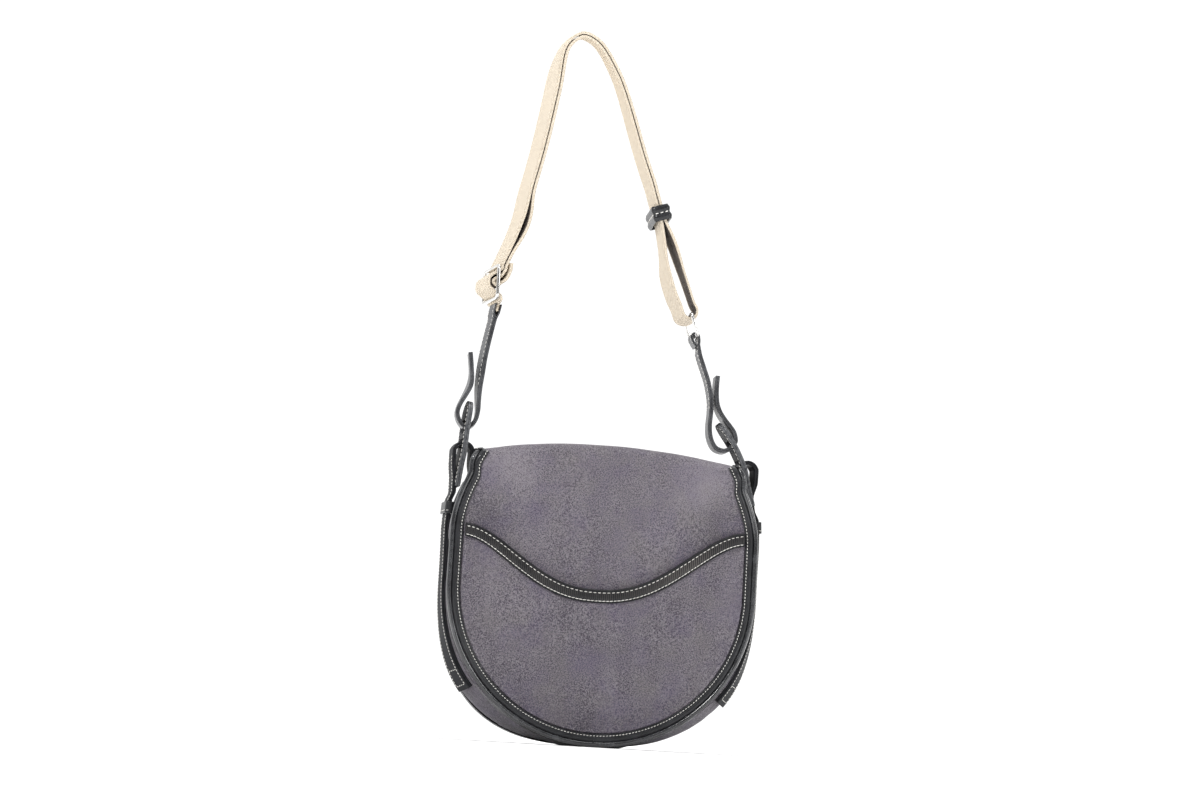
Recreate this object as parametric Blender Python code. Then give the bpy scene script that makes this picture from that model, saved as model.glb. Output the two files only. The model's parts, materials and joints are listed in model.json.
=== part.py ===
"""Shoulder bag: a horseshoe-shaped suede body with a folded flap, hung from a webbing strap.

Units are metres, +Z is up, +X runs along the width and -Y is the face with the slip pocket.
The origin is on the ground under the middle of the bag.
"""

import math

import bmesh
import bpy
from mathutils import Vector

# Clearances and drawing resolution
GAP = 0.0003
RUNNING_GAP = 0.0006
OVERRUN = 0.002
ARC_STEPS = 11
SHOULDER_STEPS = 9
ROUND_SIDES = 10
CURVE_STEPS = 2
WEAVE_STEPS = 3
BEND_STEPS = 5
BOW_STEPS = 3
TIP_STEPS = 8
FOLD_CUT_SHARES = (0.25, 0.5, 0.75, 1.0)
SHARP_ANGLE = math.radians(35.0)
NEAR_X_SHARE = 0.7
STRAP_EDGE_SHARE = 0.22

# Horseshoe outline of the rims
RIM_RADIUS = 0.1385
SHOULDER_START = 0.186
SHOULDER_PULL = 0.028
NECK_HALF = 0.112
NECK_HEIGHT = 0.259
NECK_REACH = 0.015
NECK_DROP = 0.009
ROOF_CROWN = 0.0105
GUSSET_END_SHARE = 0.46
EDGE_SHIFT_SHARE = 0.5
BACK_BINDING_TOP_SHARE = 0.9
RIM_LIFT = 0.0004

# Body depth and sheet thicknesses
BODY_HALF_DEPTH = 0.039
SUEDE = 0.002
BACK_FOLD_RADIUS = 0.009
ROOF_BINDING_START = math.radians(38.0)
FLAP_FOLD_RADIUS = 0.012
SHEET_STEP = 0.016

# Piping bead, flat binding and the leather band round each rim
BEAD_RADIUS = 0.0024
BINDING_WIDTH = 0.0068
BINDING_THICK = 0.0013
BAND_WIDTH = 0.0083
BAND_THICK = 0.0015

# Gusset
GUSSET_THICK = 0.0016
GUSSET_BULGE = 0.0043
GUSSET_FULL_TO = 0.150
GUSSET_FLAT_FROM = 0.196
BULGE_POWER = 2.5
GUSSET_RIBS = 6

# Lining and bottom board
LINING_THICK = 0.0012
LINING_TOP = 0.206
BOARD_THICK = 0.0015
BOARD_HALF_WIDTH = 0.0175
BOARD_HALF_TURN = math.radians(38.0)

# Slip pocket on the back and its bound, wavy edge
POCKET_SUEDE = 0.0018
POCKET_GAP = 0.0046
POCKET_SEAM_RISE = 0.020
POCKET_LOW = 0.1265
POCKET_RISE = 0.0573
POCKET_CURVE_POWER = 1.35
POCKET_TRIM_WIDTH = 0.0110
POCKET_TRIM_THICK = 0.0012
POCKET_STEPS = 22
TRIM_STAND_SHARE = 0.45

# Flap and its closure
FLAP_HINGE_Y = 0.006
FLAP_CLEARANCE = 0.0041
FLAP_TIP = 0.092
FLAP_FLARE = 0.016
FLAP_SIDE_PULL = 0.037
FLAP_TIP_PULL = 0.118
FRONT_TOP = 0.232
MOUTH_TRIM_WIDTH = 0.009
SNAP_RADIUS = 0.009
SNAP_SOCKET_THICK = 0.0016
SNAP_PLATE_THICK = 0.0012
SNAP_STUD_RADIUS = 0.0032
SNAP_STUD_BORE = 0.0037
SNAP_STUD_REACH = 0.0020
SNAP_HEIGHT = 0.112

# Side straps with their keepers and hanger tabs; shoulder strap plane
STRAP_PLANE_Y = -0.014
SIDE_STRAP_WIDTH = 0.017
SIDE_STRAP_THICK = 0.0036
SIDE_STRAP_START = math.radians(-42.0)
ARCH_RADIUS = 0.0082
ARCH_CENTRE_HEIGHT = 0.2555
ARCH_CENTRE_LEFT = 0.1310
ARCH_CENTRE_RIGHT = 0.1275
ARCH_CROSSING_LEFT = math.radians(93.0)
ARCH_CROSSING_RIGHT = math.radians(124.0)
ARCH_LEG_HEIGHT = 0.234
INNER_LEG_END = 0.211
INNER_LEG_TURN = 0.224
KEEPER_WALL = 0.0018
KEEPER_HEIGHT = 0.013
KEEPER_CENTRE = 0.205
KEEPER_STEP_IN = 0.0015
TAB_WIDTH = 0.026
TAB_THICK = 0.0045
TAB_TAIL = 0.025
TAB_TIP_BEYOND_SLOT = 0.024
TAB_BEND_PER_METRE = math.radians(440.0)
TAB_BEND_SHARE_LEFT = 0.4
TAB_BEND_SHARE_RIGHT = 1.0
TAB_HEADING_LEFT = math.radians(92.0)
TAB_HEADING_RIGHT = math.radians(114.0)
SLOT_SPACING_LEFT = 0.0148
SLOT_SPACING_RIGHT = 0.0185
LOWER_SLOT_HEIGHT = 0.0078
UPPER_SLOT_PLAY_SHARE = 1.5
UPPER_SLOT_SIDE_GAP = 0.0011
SLOT_CORNER = 0.0008
STRAP_SWING = math.radians(15.0)

# Leather strap ends with their teardrop loops
END_STRAP_WIDTH = 0.018
END_STRAP_THICK = 0.0038
LOOP_HALF_WIDTH = 0.0110
LOOP_HEIGHT = 0.046
LOOP_LEAN_LEFT = math.radians(2.7)
LOOP_LEAN_RIGHT = math.radians(11.0)
FORK_LENGTH = 0.016
LEFT_END_X = -0.1145
LEFT_END_TOP = 0.3900

# Webbing, slide, ring and keeper
WEB_WIDTH = 0.038
WEB_THICK = 0.0028
WEB_LAYER_GAP = 0.0006
WEB_STUB_WIDTH = 0.017
WIRE_RADIUS = 0.0016
SLIDE_HALF_HEIGHT = 0.0147
SLIDE_HALF_WIDTH = 0.0214
SLIDE_CENTRE_HEIGHT = 0.4105
RING_BAR_SPACING = 0.0215
RING_LOW_X = 0.0745
RING_LOW_HEIGHT = 0.3715
RING_LEAN = math.radians(18.0)
RING_HALF_WIDTH = 0.0214
RING_PLAY = 0.0033
RING_SEAT_GAP = 0.0009
WIRE_CORNER = 0.003
SLIDE_BAR_SHARE = 0.97
STRAP_ARCH_X = -0.1044
STRAP_ARCH_FOOT = 0.434
STRAP_ARCH_SPAN = 0.1394
STRAP_ARCH_RISE = 0.2164
WEB_KEEPER_HEIGHT = 0.012
WEB_KEEPER_WALL = 0.0019
WEB_RUN_ABOVE = 0.031
WEB_RUN_BELOW = 0.0065
WEB_STRAND_SPREAD = 0.0105
WEB_SWAY = math.tan(math.radians(13.0))
SWAY_START = 0.315
SWAY_FULL = 0.380
SWAY_TURN = 0.585
SWAY_END = 0.560

# Outlines given as shares of the sizes that they follow
LOOP_SHARES = (
    (0.28, 1.0), (0.45, 0.76), (0.70, 0.52), (0.82, 0.30), (0.55, 0.10), (0.0, 0.0),
    (-0.49, 0.03), (-0.80, 0.085), (-1.05, 0.165), (-1.04, 0.36), (-0.77, 0.57),
    (-0.42, 0.83), (-0.27, 1.0), (-0.48, 1.25), (-0.75, 1.50),
)
LEFT_CROSSING_SHARE = (0.0, 0.0)
RIGHT_CROSSING_SHARE = (-0.80, 0.085)
ARCH_SHARES = (
    (0.050, 0.10), (0.096, 0.20), (0.125, 0.31), (0.163, 0.42), (0.205, 0.56),
    (0.248, 0.73), (0.275, 0.85), (0.315, 0.94), (0.385, 0.99), (0.452, 1.0),
    (0.550, 0.96), (0.650, 0.86), (0.726, 0.75), (0.859, 0.50),
)
KEEPER_SHARE = (1.003, 0.238)
OUTER_STRAND_SHARES = ((0.78, 0.24), (0.50, 0.42), (0.26, 0.55), (0.12, 0.62))
INNER_STRAND_SHARES = ((0.12, -0.80), (0.26, -0.98), (0.50, -1.0), (0.78, -0.62))
EYE_SHARES = (
    (0.56, -2.3), (0.86, -1.2), (1.0, 0.0), (0.71, 0.71), (0.0, 1.0), (-0.71, 0.71),
    (-1.0, 0.0), (-0.86, -1.2), (-0.56, -2.3), (-0.56, -4.4),
)
SLIDE_OUT_SHARES = ((-1.15, 0.0, -1.0), (-1.05, 0.6, -1.0), (0.2, -2.6, 0.0), (1.85, -1.25, 0.0),
                    (2.1, 0.0, 0.0), (1.85, 1.25, 0.0), (0.2, 2.6, 0.0), (-1.05, -0.6, 1.0),
                    (-1.15, 0.5, 1.0))
SLIDE_IN_SHARES = ((-2.2, 0.5, 1.0), (-2.0, -0.6, 1.0), (-1.55, 2.5, 0.0), (-0.75, 1.4, 0.0),
                   (0.35, 0.93, 0.0), (1.0, 0.0, 0.0), (0.0, -1.0, 0.0), (-0.93, -0.25, 0.0),
                   (-2.3, 0.9, 0.0), (-3.2, 3.0, 0.0), (-3.4, 0.9, 1.0))
CREST_SHARE = 0.452

# Finishes: colour, roughness, metallic
LEATHER = ((0.028, 0.029, 0.033), 0.4, 0.0)
SUEDE_NAP = ((0.165, 0.155, 0.185), 0.95, 0.0)
COTTON = ((0.86, 0.76, 0.60), 0.9, 0.0)
NICKEL = ((0.74, 0.74, 0.73), 0.2, 1.0)
LINING_CLOTH = ((0.10, 0.10, 0.11), 0.9, 0.0)
FIBREBOARD = ((0.20, 0.16, 0.12), 0.9, 0.0)

# Values that follow from the ones above
SHEET_EDGE = 2.0 * BEAD_RADIUS + GAP
ROOF_HEIGHT = NECK_HEIGHT + ROOF_CROWN
BEAD_Y = BODY_HALF_DEPTH
GUSSET_HALF = BODY_HALF_DEPTH - BEAD_RADIUS - GAP
GUSSET_SEAT = GAP + BAND_THICK + GAP
BAND_INNER_Y = GUSSET_HALF - BAND_WIDTH
BACK_FOLD_START = ROOF_HEIGHT - BACK_FOLD_RADIUS
BACK_FOLD_RUN = BACK_FOLD_RADIUS * math.pi / 2
BACK_RUN = BACK_FOLD_START + BACK_FOLD_RUN + FLAP_HINGE_Y + BODY_HALF_DEPTH - BACK_FOLD_RADIUS
FLAP_FACE = BODY_HALF_DEPTH + FLAP_CLEARANCE + SUEDE
FLAP_FOLD_START = FLAP_FACE - FLAP_FOLD_RADIUS - FLAP_HINGE_Y - GAP
FLAP_FOLD_RUN = FLAP_FOLD_RADIUS * math.pi / 2
UPPER_SLOT_HEIGHT = (END_STRAP_WIDTH * math.sin(STRAP_SWING)
                     + END_STRAP_THICK * UPPER_SLOT_PLAY_SHARE + 2.0 * RUNNING_GAP)

# The same values for the left (-1) and right (+1) side
SIDE_NAMES = {-1: "left", 1: "right"}
ARCH_CENTRES = {-1: ARCH_CENTRE_LEFT, 1: ARCH_CENTRE_RIGHT}
ARCH_CROSSINGS = {-1: ARCH_CROSSING_LEFT, 1: ARCH_CROSSING_RIGHT}
TAB_BEND_SHARES = {-1: TAB_BEND_SHARE_LEFT, 1: TAB_BEND_SHARE_RIGHT}
TAB_HEADINGS = {-1: TAB_HEADING_LEFT, 1: TAB_HEADING_RIGHT}
SLOT_SPACINGS = {-1: SLOT_SPACING_LEFT, 1: SLOT_SPACING_RIGHT}
LOOP_LEANS = {-1: LOOP_LEAN_LEFT, 1: LOOP_LEAN_RIGHT}
CROSSING_SHARES = {-1: LEFT_CROSSING_SHARE, 1: RIGHT_CROSSING_SHARE}


def clear_scene():
    """Remove every object so that the model starts from an empty scene."""
    for item in list(bpy.data.objects):
        bpy.data.objects.remove(item, do_unlink=True)


def make_material(name, finish):
    """Return a plain Principled material."""
    colour, roughness, metallic = finish
    material = bpy.data.materials.new(name)
    material.use_nodes = True
    shader = material.node_tree.nodes["Principled BSDF"]
    shader.inputs["Base Color"].default_value = (*colour, 1.0)
    shader.inputs["Roughness"].default_value = roughness
    shader.inputs["Metallic"].default_value = metallic
    material.diffuse_color = (*colour, 1.0)
    return material


def add_object(mesh_data, name, finish):
    """Turn a bmesh into a shaded object with a material of its own."""
    bmesh.ops.recalc_face_normals(mesh_data, faces=mesh_data.faces)
    mesh = bpy.data.meshes.new(name)
    mesh_data.to_mesh(mesh)
    mesh_data.free()
    mesh.shade_smooth()
    mesh.set_sharp_from_angle(angle=SHARP_ANGLE)
    part = bpy.data.objects.new(name, mesh)
    part.data.materials.append(make_material(name, finish))
    bpy.context.collection.objects.link(part)
    return part


def smooth_step(value):
    """Ease from 0 to 1."""
    value = min(max(value, 0.0), 1.0)
    return value * value * (3.0 - 2.0 * value)


def smooth_path(points, steps=CURVE_STEPS):
    """Catmull-Rom curve through flat points."""
    points = [Vector(point) for point in points]
    ends = [2 * points[0] - points[1], *points, 2 * points[-1] - points[-2]]
    path = []
    for before, start, end, after in zip(ends, ends[1:], ends[2:], ends[3:]):
        for step in range(steps):
            t = step / steps
            path.append(0.5 * (2 * start + (end - before) * t
                               + (2 * before - 5 * start + 4 * end - after) * t ** 2
                               + (3 * start - before - 3 * end + after) * t ** 3))
    path.append(points[-1])
    return path


def cubic(start, pull_start, pull_end, end, t):
    """Point of a cubic Bezier curve."""
    s = 1.0 - t
    return (start * s ** 3 + pull_start * 3 * s * s * t
            + pull_end * 3 * s * t * t + end * t ** 3)


def skin(rings, closed=False):
    """Join equal rings of points into one body, capped unless it closes on itself."""
    body = bmesh.new()
    rows = [[body.verts.new(point) for point in ring] for ring in rings]
    pairs = list(zip(rows, rows[1:]))
    if closed:
        pairs.append((rows[-1], rows[0]))
    for low, high in pairs:
        for index in range(len(low)):
            after = (index + 1) % len(low)
            body.faces.new((low[index], low[after], high[after], high[index]))
    if not closed:
        body.faces.new(rows[0])
        body.faces.new(rows[-1])
    return body


def path_normals(path, closed=False):
    """Left-hand normals of a flat path."""
    normals = []
    last = len(path) - 1
    for index in range(len(path)):
        before = path[index - 1] if closed or index else path[0]
        after = path[(index + 1) % len(path)] if closed else path[min(index + 1, last)]
        along = (after - before).normalized()
        normals.append(Vector((-along.y, along.x)))
    return normals


def ribbon(path, widths, thicknesses, centre_y=STRAP_PLANE_Y, edge_share=STRAP_EDGE_SHARE):
    """Strap along a path in the XZ plane, its width along Y, with eased or square edges."""
    rings = []
    for place, normal, width, thick in zip(path, path_normals(path), widths, thicknesses):
        half, side = thick / 2, width / 2
        ease = thick * edge_share
        section = ((half, side - ease), (half - ease, side), (ease - half, side),
                   (-half, side - ease), (-half, ease - side), (ease - half, -side),
                   (half - ease, -side), (half, ease - side))
        if not ease:
            section = ((half, side), (-half, side), (-half, -side), (half, -side))
        rings.append([(place.x + normal.x * out, centre_y + across, place.y + normal.y * out)
                      for out, across in section])
    return skin(rings)


def even_ribbon(path, width, thick, centre_y=STRAP_PLANE_Y):
    """Ribbon of one width and thickness."""
    return ribbon(path, [width] * len(path), [thick] * len(path), centre_y)


def rounded_wire(corners, radius, closed=True):
    """Round bar along a path of three-dimensional points."""
    rings = []
    count = len(corners)
    for index, corner in enumerate(corners):
        before = corners[index - 1] if closed or index else corner
        after = corners[(index + 1) % count] if closed or index < count - 1 else corner
        along = (after - before).normalized()
        across = Vector((1.0, 0.0, 0.0)) if abs(along.x) < NEAR_X_SHARE else Vector((0.0, 0.0, 1.0))
        first = along.cross(across).normalized()
        second = along.cross(first)
        rings.append([corner + radius * (first * math.cos(turn) + second * math.sin(turn))
                      for turn in (2 * math.pi * side / ROUND_SIDES
                                   for side in range(ROUND_SIDES))])
    return skin(rings, closed)


def outline_half():
    """Right half of the rim from the bottom to the neck, as (point, outward, free share)."""
    centre = Vector((0.0, RIM_RADIUS))
    points = [centre + RIM_RADIUS * Vector((math.sin(turn), -math.cos(turn)))
              for turn in (math.pi / 2 * step / ARC_STEPS for step in range(ARC_STEPS + 1))]
    start = Vector((RIM_RADIUS, SHOULDER_START))
    neck = Vector((NECK_HALF, NECK_HEIGHT))
    pull_start = start + Vector((0.0, SHOULDER_PULL))
    pull_end = neck + Vector((NECK_REACH, -NECK_DROP))
    shoulder = [cubic(start, pull_start, pull_end, neck, step / SHOULDER_STEPS)
                for step in range(SHOULDER_STEPS + 1)]
    middle = (points[-1] + start) / 2
    path = points + [middle] + shoulder
    shares = [0.0] * (len(points) + 1) + [step / SHOULDER_STEPS
                                          for step in range(SHOULDER_STEPS + 1)]
    return [(place, -normal, share)
            for place, normal, share in zip(path, path_normals(path), shares)]


def rim_stations(top_share=1.0):
    """Stations of the whole rim, left neck to right neck, as far as the shoulder share."""
    right = [station for station in outline_half() if station[2] <= top_share]
    left = [(Vector((-place.x, place.y)), Vector((-normal.x, normal.y)), share)
            for place, normal, share in reversed(right[1:])]
    return left + right


def free_shift(share):
    """How far the flat binding moves out to the edge past the end of the gusset."""
    reach = (1.0 - GUSSET_END_SHARE) * EDGE_SHIFT_SHARE
    return SHEET_EDGE * smooth_step((share - GUSSET_END_SHARE) / reach)


def rim_offset_points(offset, top_share=1.0, shifted=False):
    """Outline points moved outwards by an offset."""
    points = []
    for place, normal, share in rim_stations(top_share):
        shift = free_shift(share) if shifted else 0.0
        points.append(place + normal * (offset + shift))
    return points


def rim_sweep(section, top_share=GUSSET_END_SHARE, shifted=False, floor=RIM_LIFT):
    """Sweep a section of (offset, y) points round the rim."""
    rings = []
    for place, normal, share in rim_stations(top_share):
        shift = free_shift(share) if shifted else 0.0
        ring = []
        for offset, depth in section:
            spot = place + normal * (offset + shift)
            ring.append((spot.x, depth, max(spot.y, floor)))
        rings.append(ring)
    return skin(rings)


def roof_drop(x):
    """How far the roof lies below its crown at a place across the width."""
    return ROOF_CROWN * (x / NECK_HALF) ** 2


def filled_sheet(loops, cuts_a, cuts_b, place, thick):
    """Fill flat loops, cut them into a grid, and bend them into a sheet of some thickness."""
    flat = bmesh.new()
    for loop in loops:
        corners = [flat.verts.new((a, b, 0.0)) for a, b in loop]
        for index, corner in enumerate(corners):
            flat.edges.new((corners[index - 1], corner))
    if len(loops) == 1:
        flat.faces.new(corners)
    else:
        bmesh.ops.triangle_fill(flat, use_beauty=True, use_dissolve=False, edges=flat.edges)
    for axis, cuts in ((Vector((1.0, 0.0, 0.0)), cuts_a), (Vector((0.0, 1.0, 0.0)), cuts_b)):
        for cut in cuts:
            parts = flat.verts[:] + flat.edges[:] + flat.faces[:]
            bmesh.ops.bisect_plane(flat, geom=parts, plane_co=axis * cut, plane_no=axis)
    bmesh.ops.triangulate(flat, faces=flat.faces)
    flat.verts.index_update()
    body = bmesh.new()
    outer = [body.verts.new(place(v.co.x, v.co.y, 0.0)) for v in flat.verts]
    inner = [body.verts.new(place(v.co.x, v.co.y, thick)) for v in flat.verts]
    for face in flat.faces:
        corners = [v.index for v in face.verts]
        body.faces.new([outer[index] for index in corners])
        body.faces.new([inner[index] for index in reversed(corners)])
    for edge in flat.edges:
        if len(edge.link_faces) == 1:
            first, second = (v.index for v in edge.verts)
            body.faces.new((outer[first], outer[second], inner[second], inner[first]))
    flat.free()
    return body


def steps_between(low, high, step):
    """Evenly spaced cuts strictly between two limits."""
    count = max(int(math.ceil((high - low) / step)), 1)
    return [low + (high - low) * index / count for index in range(1, count)]


def over_the_top(x, run, depth):
    """Back sheet: straight up the back, round the fold and forward over the roof."""
    turn = min(max((run - BACK_FOLD_START) / BACK_FOLD_RADIUS, 0.0), math.pi / 2)
    radius = BACK_FOLD_RADIUS - depth
    rest = max(run - BACK_FOLD_START - BACK_FOLD_RUN, 0.0)
    y = -BODY_HALF_DEPTH + BACK_FOLD_RADIUS - radius * math.cos(turn) + rest
    z = min(run, BACK_FOLD_START) + radius * math.sin(turn) - roof_drop(x)
    return (x, y, z)


def down_the_front(x, run, depth):
    """Flap sheet: forward from the hinge line, round the fold and down the front."""
    turn = min(max((run - FLAP_FOLD_START) / FLAP_FOLD_RADIUS, 0.0), math.pi / 2)
    radius = FLAP_FOLD_RADIUS - depth
    rest = max(run - FLAP_FOLD_START - FLAP_FOLD_RUN, 0.0)
    y = FLAP_HINGE_Y + GAP + min(run, FLAP_FOLD_START) + radius * math.sin(turn)
    z = ROOF_HEIGHT - FLAP_FOLD_RADIUS + radius * math.cos(turn) - rest - roof_drop(x)
    return (x, y, z)


def back_panel():
    """Suede sheet of the back that carries on over the roof as far as the flap's hinge."""
    side = [(point.x, point.y + roof_drop(point.x))
            for point in rim_offset_points(-SHEET_EDGE, shifted=True)
            if point.y + roof_drop(point.x) < BACK_FOLD_START]
    roof = BACK_FOLD_START + BACK_FOLD_RUN
    loop = side + [(NECK_HALF, roof), (NECK_HALF, BACK_RUN),
                   (-NECK_HALF, BACK_RUN), (-NECK_HALF, roof)]
    cuts_x = steps_between(-RIM_RADIUS, RIM_RADIUS, SHEET_STEP)
    cuts_run = [BACK_FOLD_START + BACK_FOLD_RUN * share for share in (0.0, *FOLD_CUT_SHARES)]
    return filled_sheet([loop], cuts_x, cuts_run, over_the_top, SUEDE)


def flap_edge():
    """Half outline of the flap below the front fold, as (x, height) points."""
    start = Vector((NECK_HALF, NECK_HEIGHT - FLAP_FOLD_RADIUS))
    tip = Vector((0.0, FLAP_TIP))
    pull_start = start + Vector((FLAP_FLARE, -FLAP_SIDE_PULL))
    pull_end = tip + Vector((FLAP_TIP_PULL, 0.0))
    return [cubic(start, pull_start, pull_end, tip, step / ARC_STEPS)
            for step in range(ARC_STEPS + 1)]


def flap_run(x, height):
    """Distance along the flap sheet at which it passes a height on the front."""
    fold_end = FLAP_FOLD_START + FLAP_FOLD_RUN
    return fold_end + ROOF_HEIGHT - FLAP_FOLD_RADIUS - roof_drop(x) - height


def flap_loop(inset=0.0):
    """Outline of the flap sheet, hinge line to tip and back, moved in by an inset."""
    edge = flap_edge()
    normals = path_normals(edge)
    right = [(place.x - normal.x * inset, flap_run(place.x, place.y) + normal.y * inset)
             for place, normal in zip(edge, normals)]
    right[-1] = (0.0, flap_run(0.0, FLAP_TIP) - inset)
    left = [(-x, run) for x, run in reversed(right[:-1])]
    return [(NECK_HALF - inset, 0.0)] + right + left + [(inset - NECK_HALF, 0.0)]


def flap_cuts():
    """Grid cuts of the flap sheet."""
    cuts_x = steps_between(-RIM_RADIUS, RIM_RADIUS, SHEET_STEP)
    cuts_run = [FLAP_FOLD_START + FLAP_FOLD_RUN * share for share in (0.0, *FOLD_CUT_SHARES)]
    return cuts_x, cuts_run


def flap_panel():
    """Suede flap from the hinge line over the mouth and down the front."""
    cuts_x, cuts_run = flap_cuts()
    return filled_sheet([flap_loop()], cuts_x, cuts_run, down_the_front, SUEDE)


def flap_binding():
    """Leather binding laid along the free edge of the flap."""
    outer = flap_loop()
    inner = flap_loop(BINDING_WIDTH)
    loop = outer + list(reversed(inner))
    cuts_x, cuts_run = flap_cuts()

    def raised(x, run, depth):
        return down_the_front(x, run, depth - GAP - BINDING_THICK)

    return filled_sheet([loop], cuts_x, cuts_run, raised, BINDING_THICK)


def roof_binding(side):
    """Leather binding along one end of the fixed rear half of the roof."""
    start = BACK_FOLD_START + BACK_FOLD_RADIUS * ROOF_BINDING_START
    inner, outer = side * (NECK_HALF - BINDING_WIDTH), side * NECK_HALF
    loop = [(inner, start), (outer, start), (outer, BACK_RUN), (inner, BACK_RUN)]
    turns = [BACK_FOLD_START + BACK_FOLD_RUN * share for share in FOLD_CUT_SHARES]

    def raised(x, run, depth):
        return over_the_top(x, run, depth - GAP - BINDING_THICK)

    return filled_sheet([loop], [], turns, raised, BINDING_THICK)


def rim_bead(facing):
    """Round piping bead along one rim, back (-1) or front (+1)."""
    section = [(-BEAD_RADIUS + BEAD_RADIUS * math.cos(turn),
                facing * BEAD_Y + BEAD_RADIUS * math.sin(turn))
               for turn in (2 * math.pi * side / ROUND_SIDES for side in range(ROUND_SIDES))]
    return rim_sweep(section)


def flat_binding(facing, top_share, shifted):
    """Flat stitched binding on the face of one panel."""
    low = facing * (BODY_HALF_DEPTH + GAP)
    high = low + facing * BINDING_THICK
    inner = -SHEET_EDGE - BINDING_WIDTH
    section = [(-SHEET_EDGE, low), (-SHEET_EDGE, high), (inner, high), (inner, low)]
    return rim_sweep(section, top_share, shifted)


def rim_band(facing):
    """Leather band round the outside of the gusset next to one rim."""
    near = facing * GUSSET_HALF
    far = facing * BAND_INNER_Y
    outer = -GAP
    section = [(outer, near), (outer, far), (outer - BAND_THICK, far), (outer - BAND_THICK, near)]
    return rim_sweep(section)


def gusset_bulge(height):
    """Share of the full bulge at a height on the gusset."""
    return 1.0 - smooth_step((height - GUSSET_FULL_TO) / (GUSSET_FLAT_FROM - GUSSET_FULL_TO))


def gusset_profile(bulge):
    """Outer offsets of the gusset across its depth."""
    profile = [(-GUSSET_SEAT, -GUSSET_HALF)]
    reach = BAND_INNER_Y - GAP
    for rib in range(GUSSET_RIBS + 1):
        depth = -reach + 2 * reach * rib / GUSSET_RIBS
        crown = 1.0 - abs(depth / reach) ** BULGE_POWER
        profile.append((-GUSSET_SEAT + GUSSET_BULGE * bulge * crown, depth))
    profile.append((-GUSSET_SEAT, GUSSET_HALF))
    return profile


def gusset():
    """Suede gusset between the rims, bulged outwards and flattened where it rests."""
    rings = []
    for place, normal, _share in rim_stations(GUSSET_END_SHARE):
        profile = gusset_profile(gusset_bulge(place.y))
        outer = []
        inner = []
        for offset, depth in profile:
            spot = place + normal * offset
            outer.append((spot.x, depth, max(spot.y, 0.0)))
            spot = place + normal * (offset - GUSSET_THICK)
            inner.append((spot.x, depth, max(spot.y, GUSSET_THICK)))
        rings.append(outer + list(reversed(inner)))
    return skin(rings)


def front_panel():
    """Front suede panel, straight across its free top edge."""
    points = [point for point in rim_offset_points(-SHEET_EDGE) if point.y < FRONT_TOP]
    first, last = points[0], points[-1]
    loop = [(first.x, FRONT_TOP)] + [(p.x, p.y) for p in points] + [(last.x, FRONT_TOP)]

    def place(x, height, depth):
        return (x, BODY_HALF_DEPTH - depth, height)

    return filled_sheet([loop], [], [], place, SUEDE)


def mouth_trim():
    """Leather strip along the free top edge of the front panel."""
    inset = SHEET_EDGE + BINDING_WIDTH + GAP
    half = rim_offset_points(-inset, GUSSET_END_SHARE)[-1].x
    low = BODY_HALF_DEPTH + GAP
    high = low + BINDING_THICK
    rings = [[(x, low, FRONT_TOP), (x, high, FRONT_TOP),
              (x, high, FRONT_TOP - MOUTH_TRIM_WIDTH), (x, low, FRONT_TOP - MOUTH_TRIM_WIDTH)]
             for x in (-half, half)]
    return skin(rings)


def edge_distance(x, height):
    """Distance from a place on the panel to the inner edge of the flat binding."""
    reach = RIM_RADIUS - SHEET_EDGE - BINDING_WIDTH - GAP
    if height < RIM_RADIUS:
        return reach - math.hypot(x, RIM_RADIUS - height)
    return reach - abs(x)


def pocket_lift(x, height):
    """How far the pocket stands off the back panel."""
    return GAP + (POCKET_GAP - GAP) * smooth_step(edge_distance(x, height) / POCKET_SEAM_RISE)


def pocket_height(x):
    """Top edge of the pocket: low in the middle and rising in a wave to both sides."""
    reach = RIM_RADIUS - SHEET_EDGE - BINDING_WIDTH
    share = min(abs(x) / reach, 1.0) ** POCKET_CURVE_POWER
    return POCKET_LOW + POCKET_RISE * smooth_step(share)


def pocket_xs(reach):
    """Places across the pocket at which its edge is drawn."""
    return [-reach + 2 * reach * step / POCKET_STEPS for step in range(POCKET_STEPS + 1)]


def pocket_panel():
    """Suede front of the slip pocket, sewn round its edge and open along the top."""
    reach = RIM_RADIUS - SHEET_EDGE - BINDING_WIDTH - GAP
    below = [point for point in rim_offset_points(-SHEET_EDGE - BINDING_WIDTH - GAP)
             if point.y < pocket_height(point.x)]
    wave = [(x, pocket_height(x)) for x in reversed(pocket_xs(reach))]
    loop = [(point.x, point.y) for point in below] + wave
    cuts = steps_between(-RIM_RADIUS, RIM_RADIUS, SHEET_STEP)
    heights = steps_between(0.0, POCKET_LOW, SHEET_STEP)

    def place(x, height, depth):
        lift = pocket_lift(x, height) + POCKET_SUEDE - depth
        return (x, -BODY_HALF_DEPTH - lift, height)

    return filled_sheet([loop], cuts, heights, place, POCKET_SUEDE)


def pocket_trim():
    """Leather trim that binds the wavy edge of the pocket."""
    reach = RIM_RADIUS - SHEET_EDGE - BINDING_WIDTH - 2 * GAP
    rings = []
    for x in pocket_xs(reach):
        slope = (pocket_height(x + OVERRUN) - pocket_height(x - OVERRUN)) / (2 * OVERRUN)
        rise = POCKET_TRIM_WIDTH * math.hypot(1.0, slope)
        top = pocket_height(x)
        low = top - rise
        lift = max(pocket_lift(x, top), pocket_lift(x, low))
        stand = 2 * GAP + (POCKET_GAP - lift) * TRIM_STAND_SHARE
        face = -BODY_HALF_DEPTH - lift - POCKET_SUEDE - stand
        rings.append([(x, face, top), (x, face - POCKET_TRIM_THICK, top),
                      (x, face - POCKET_TRIM_THICK, low), (x, face, low)])
    return skin(rings)


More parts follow.
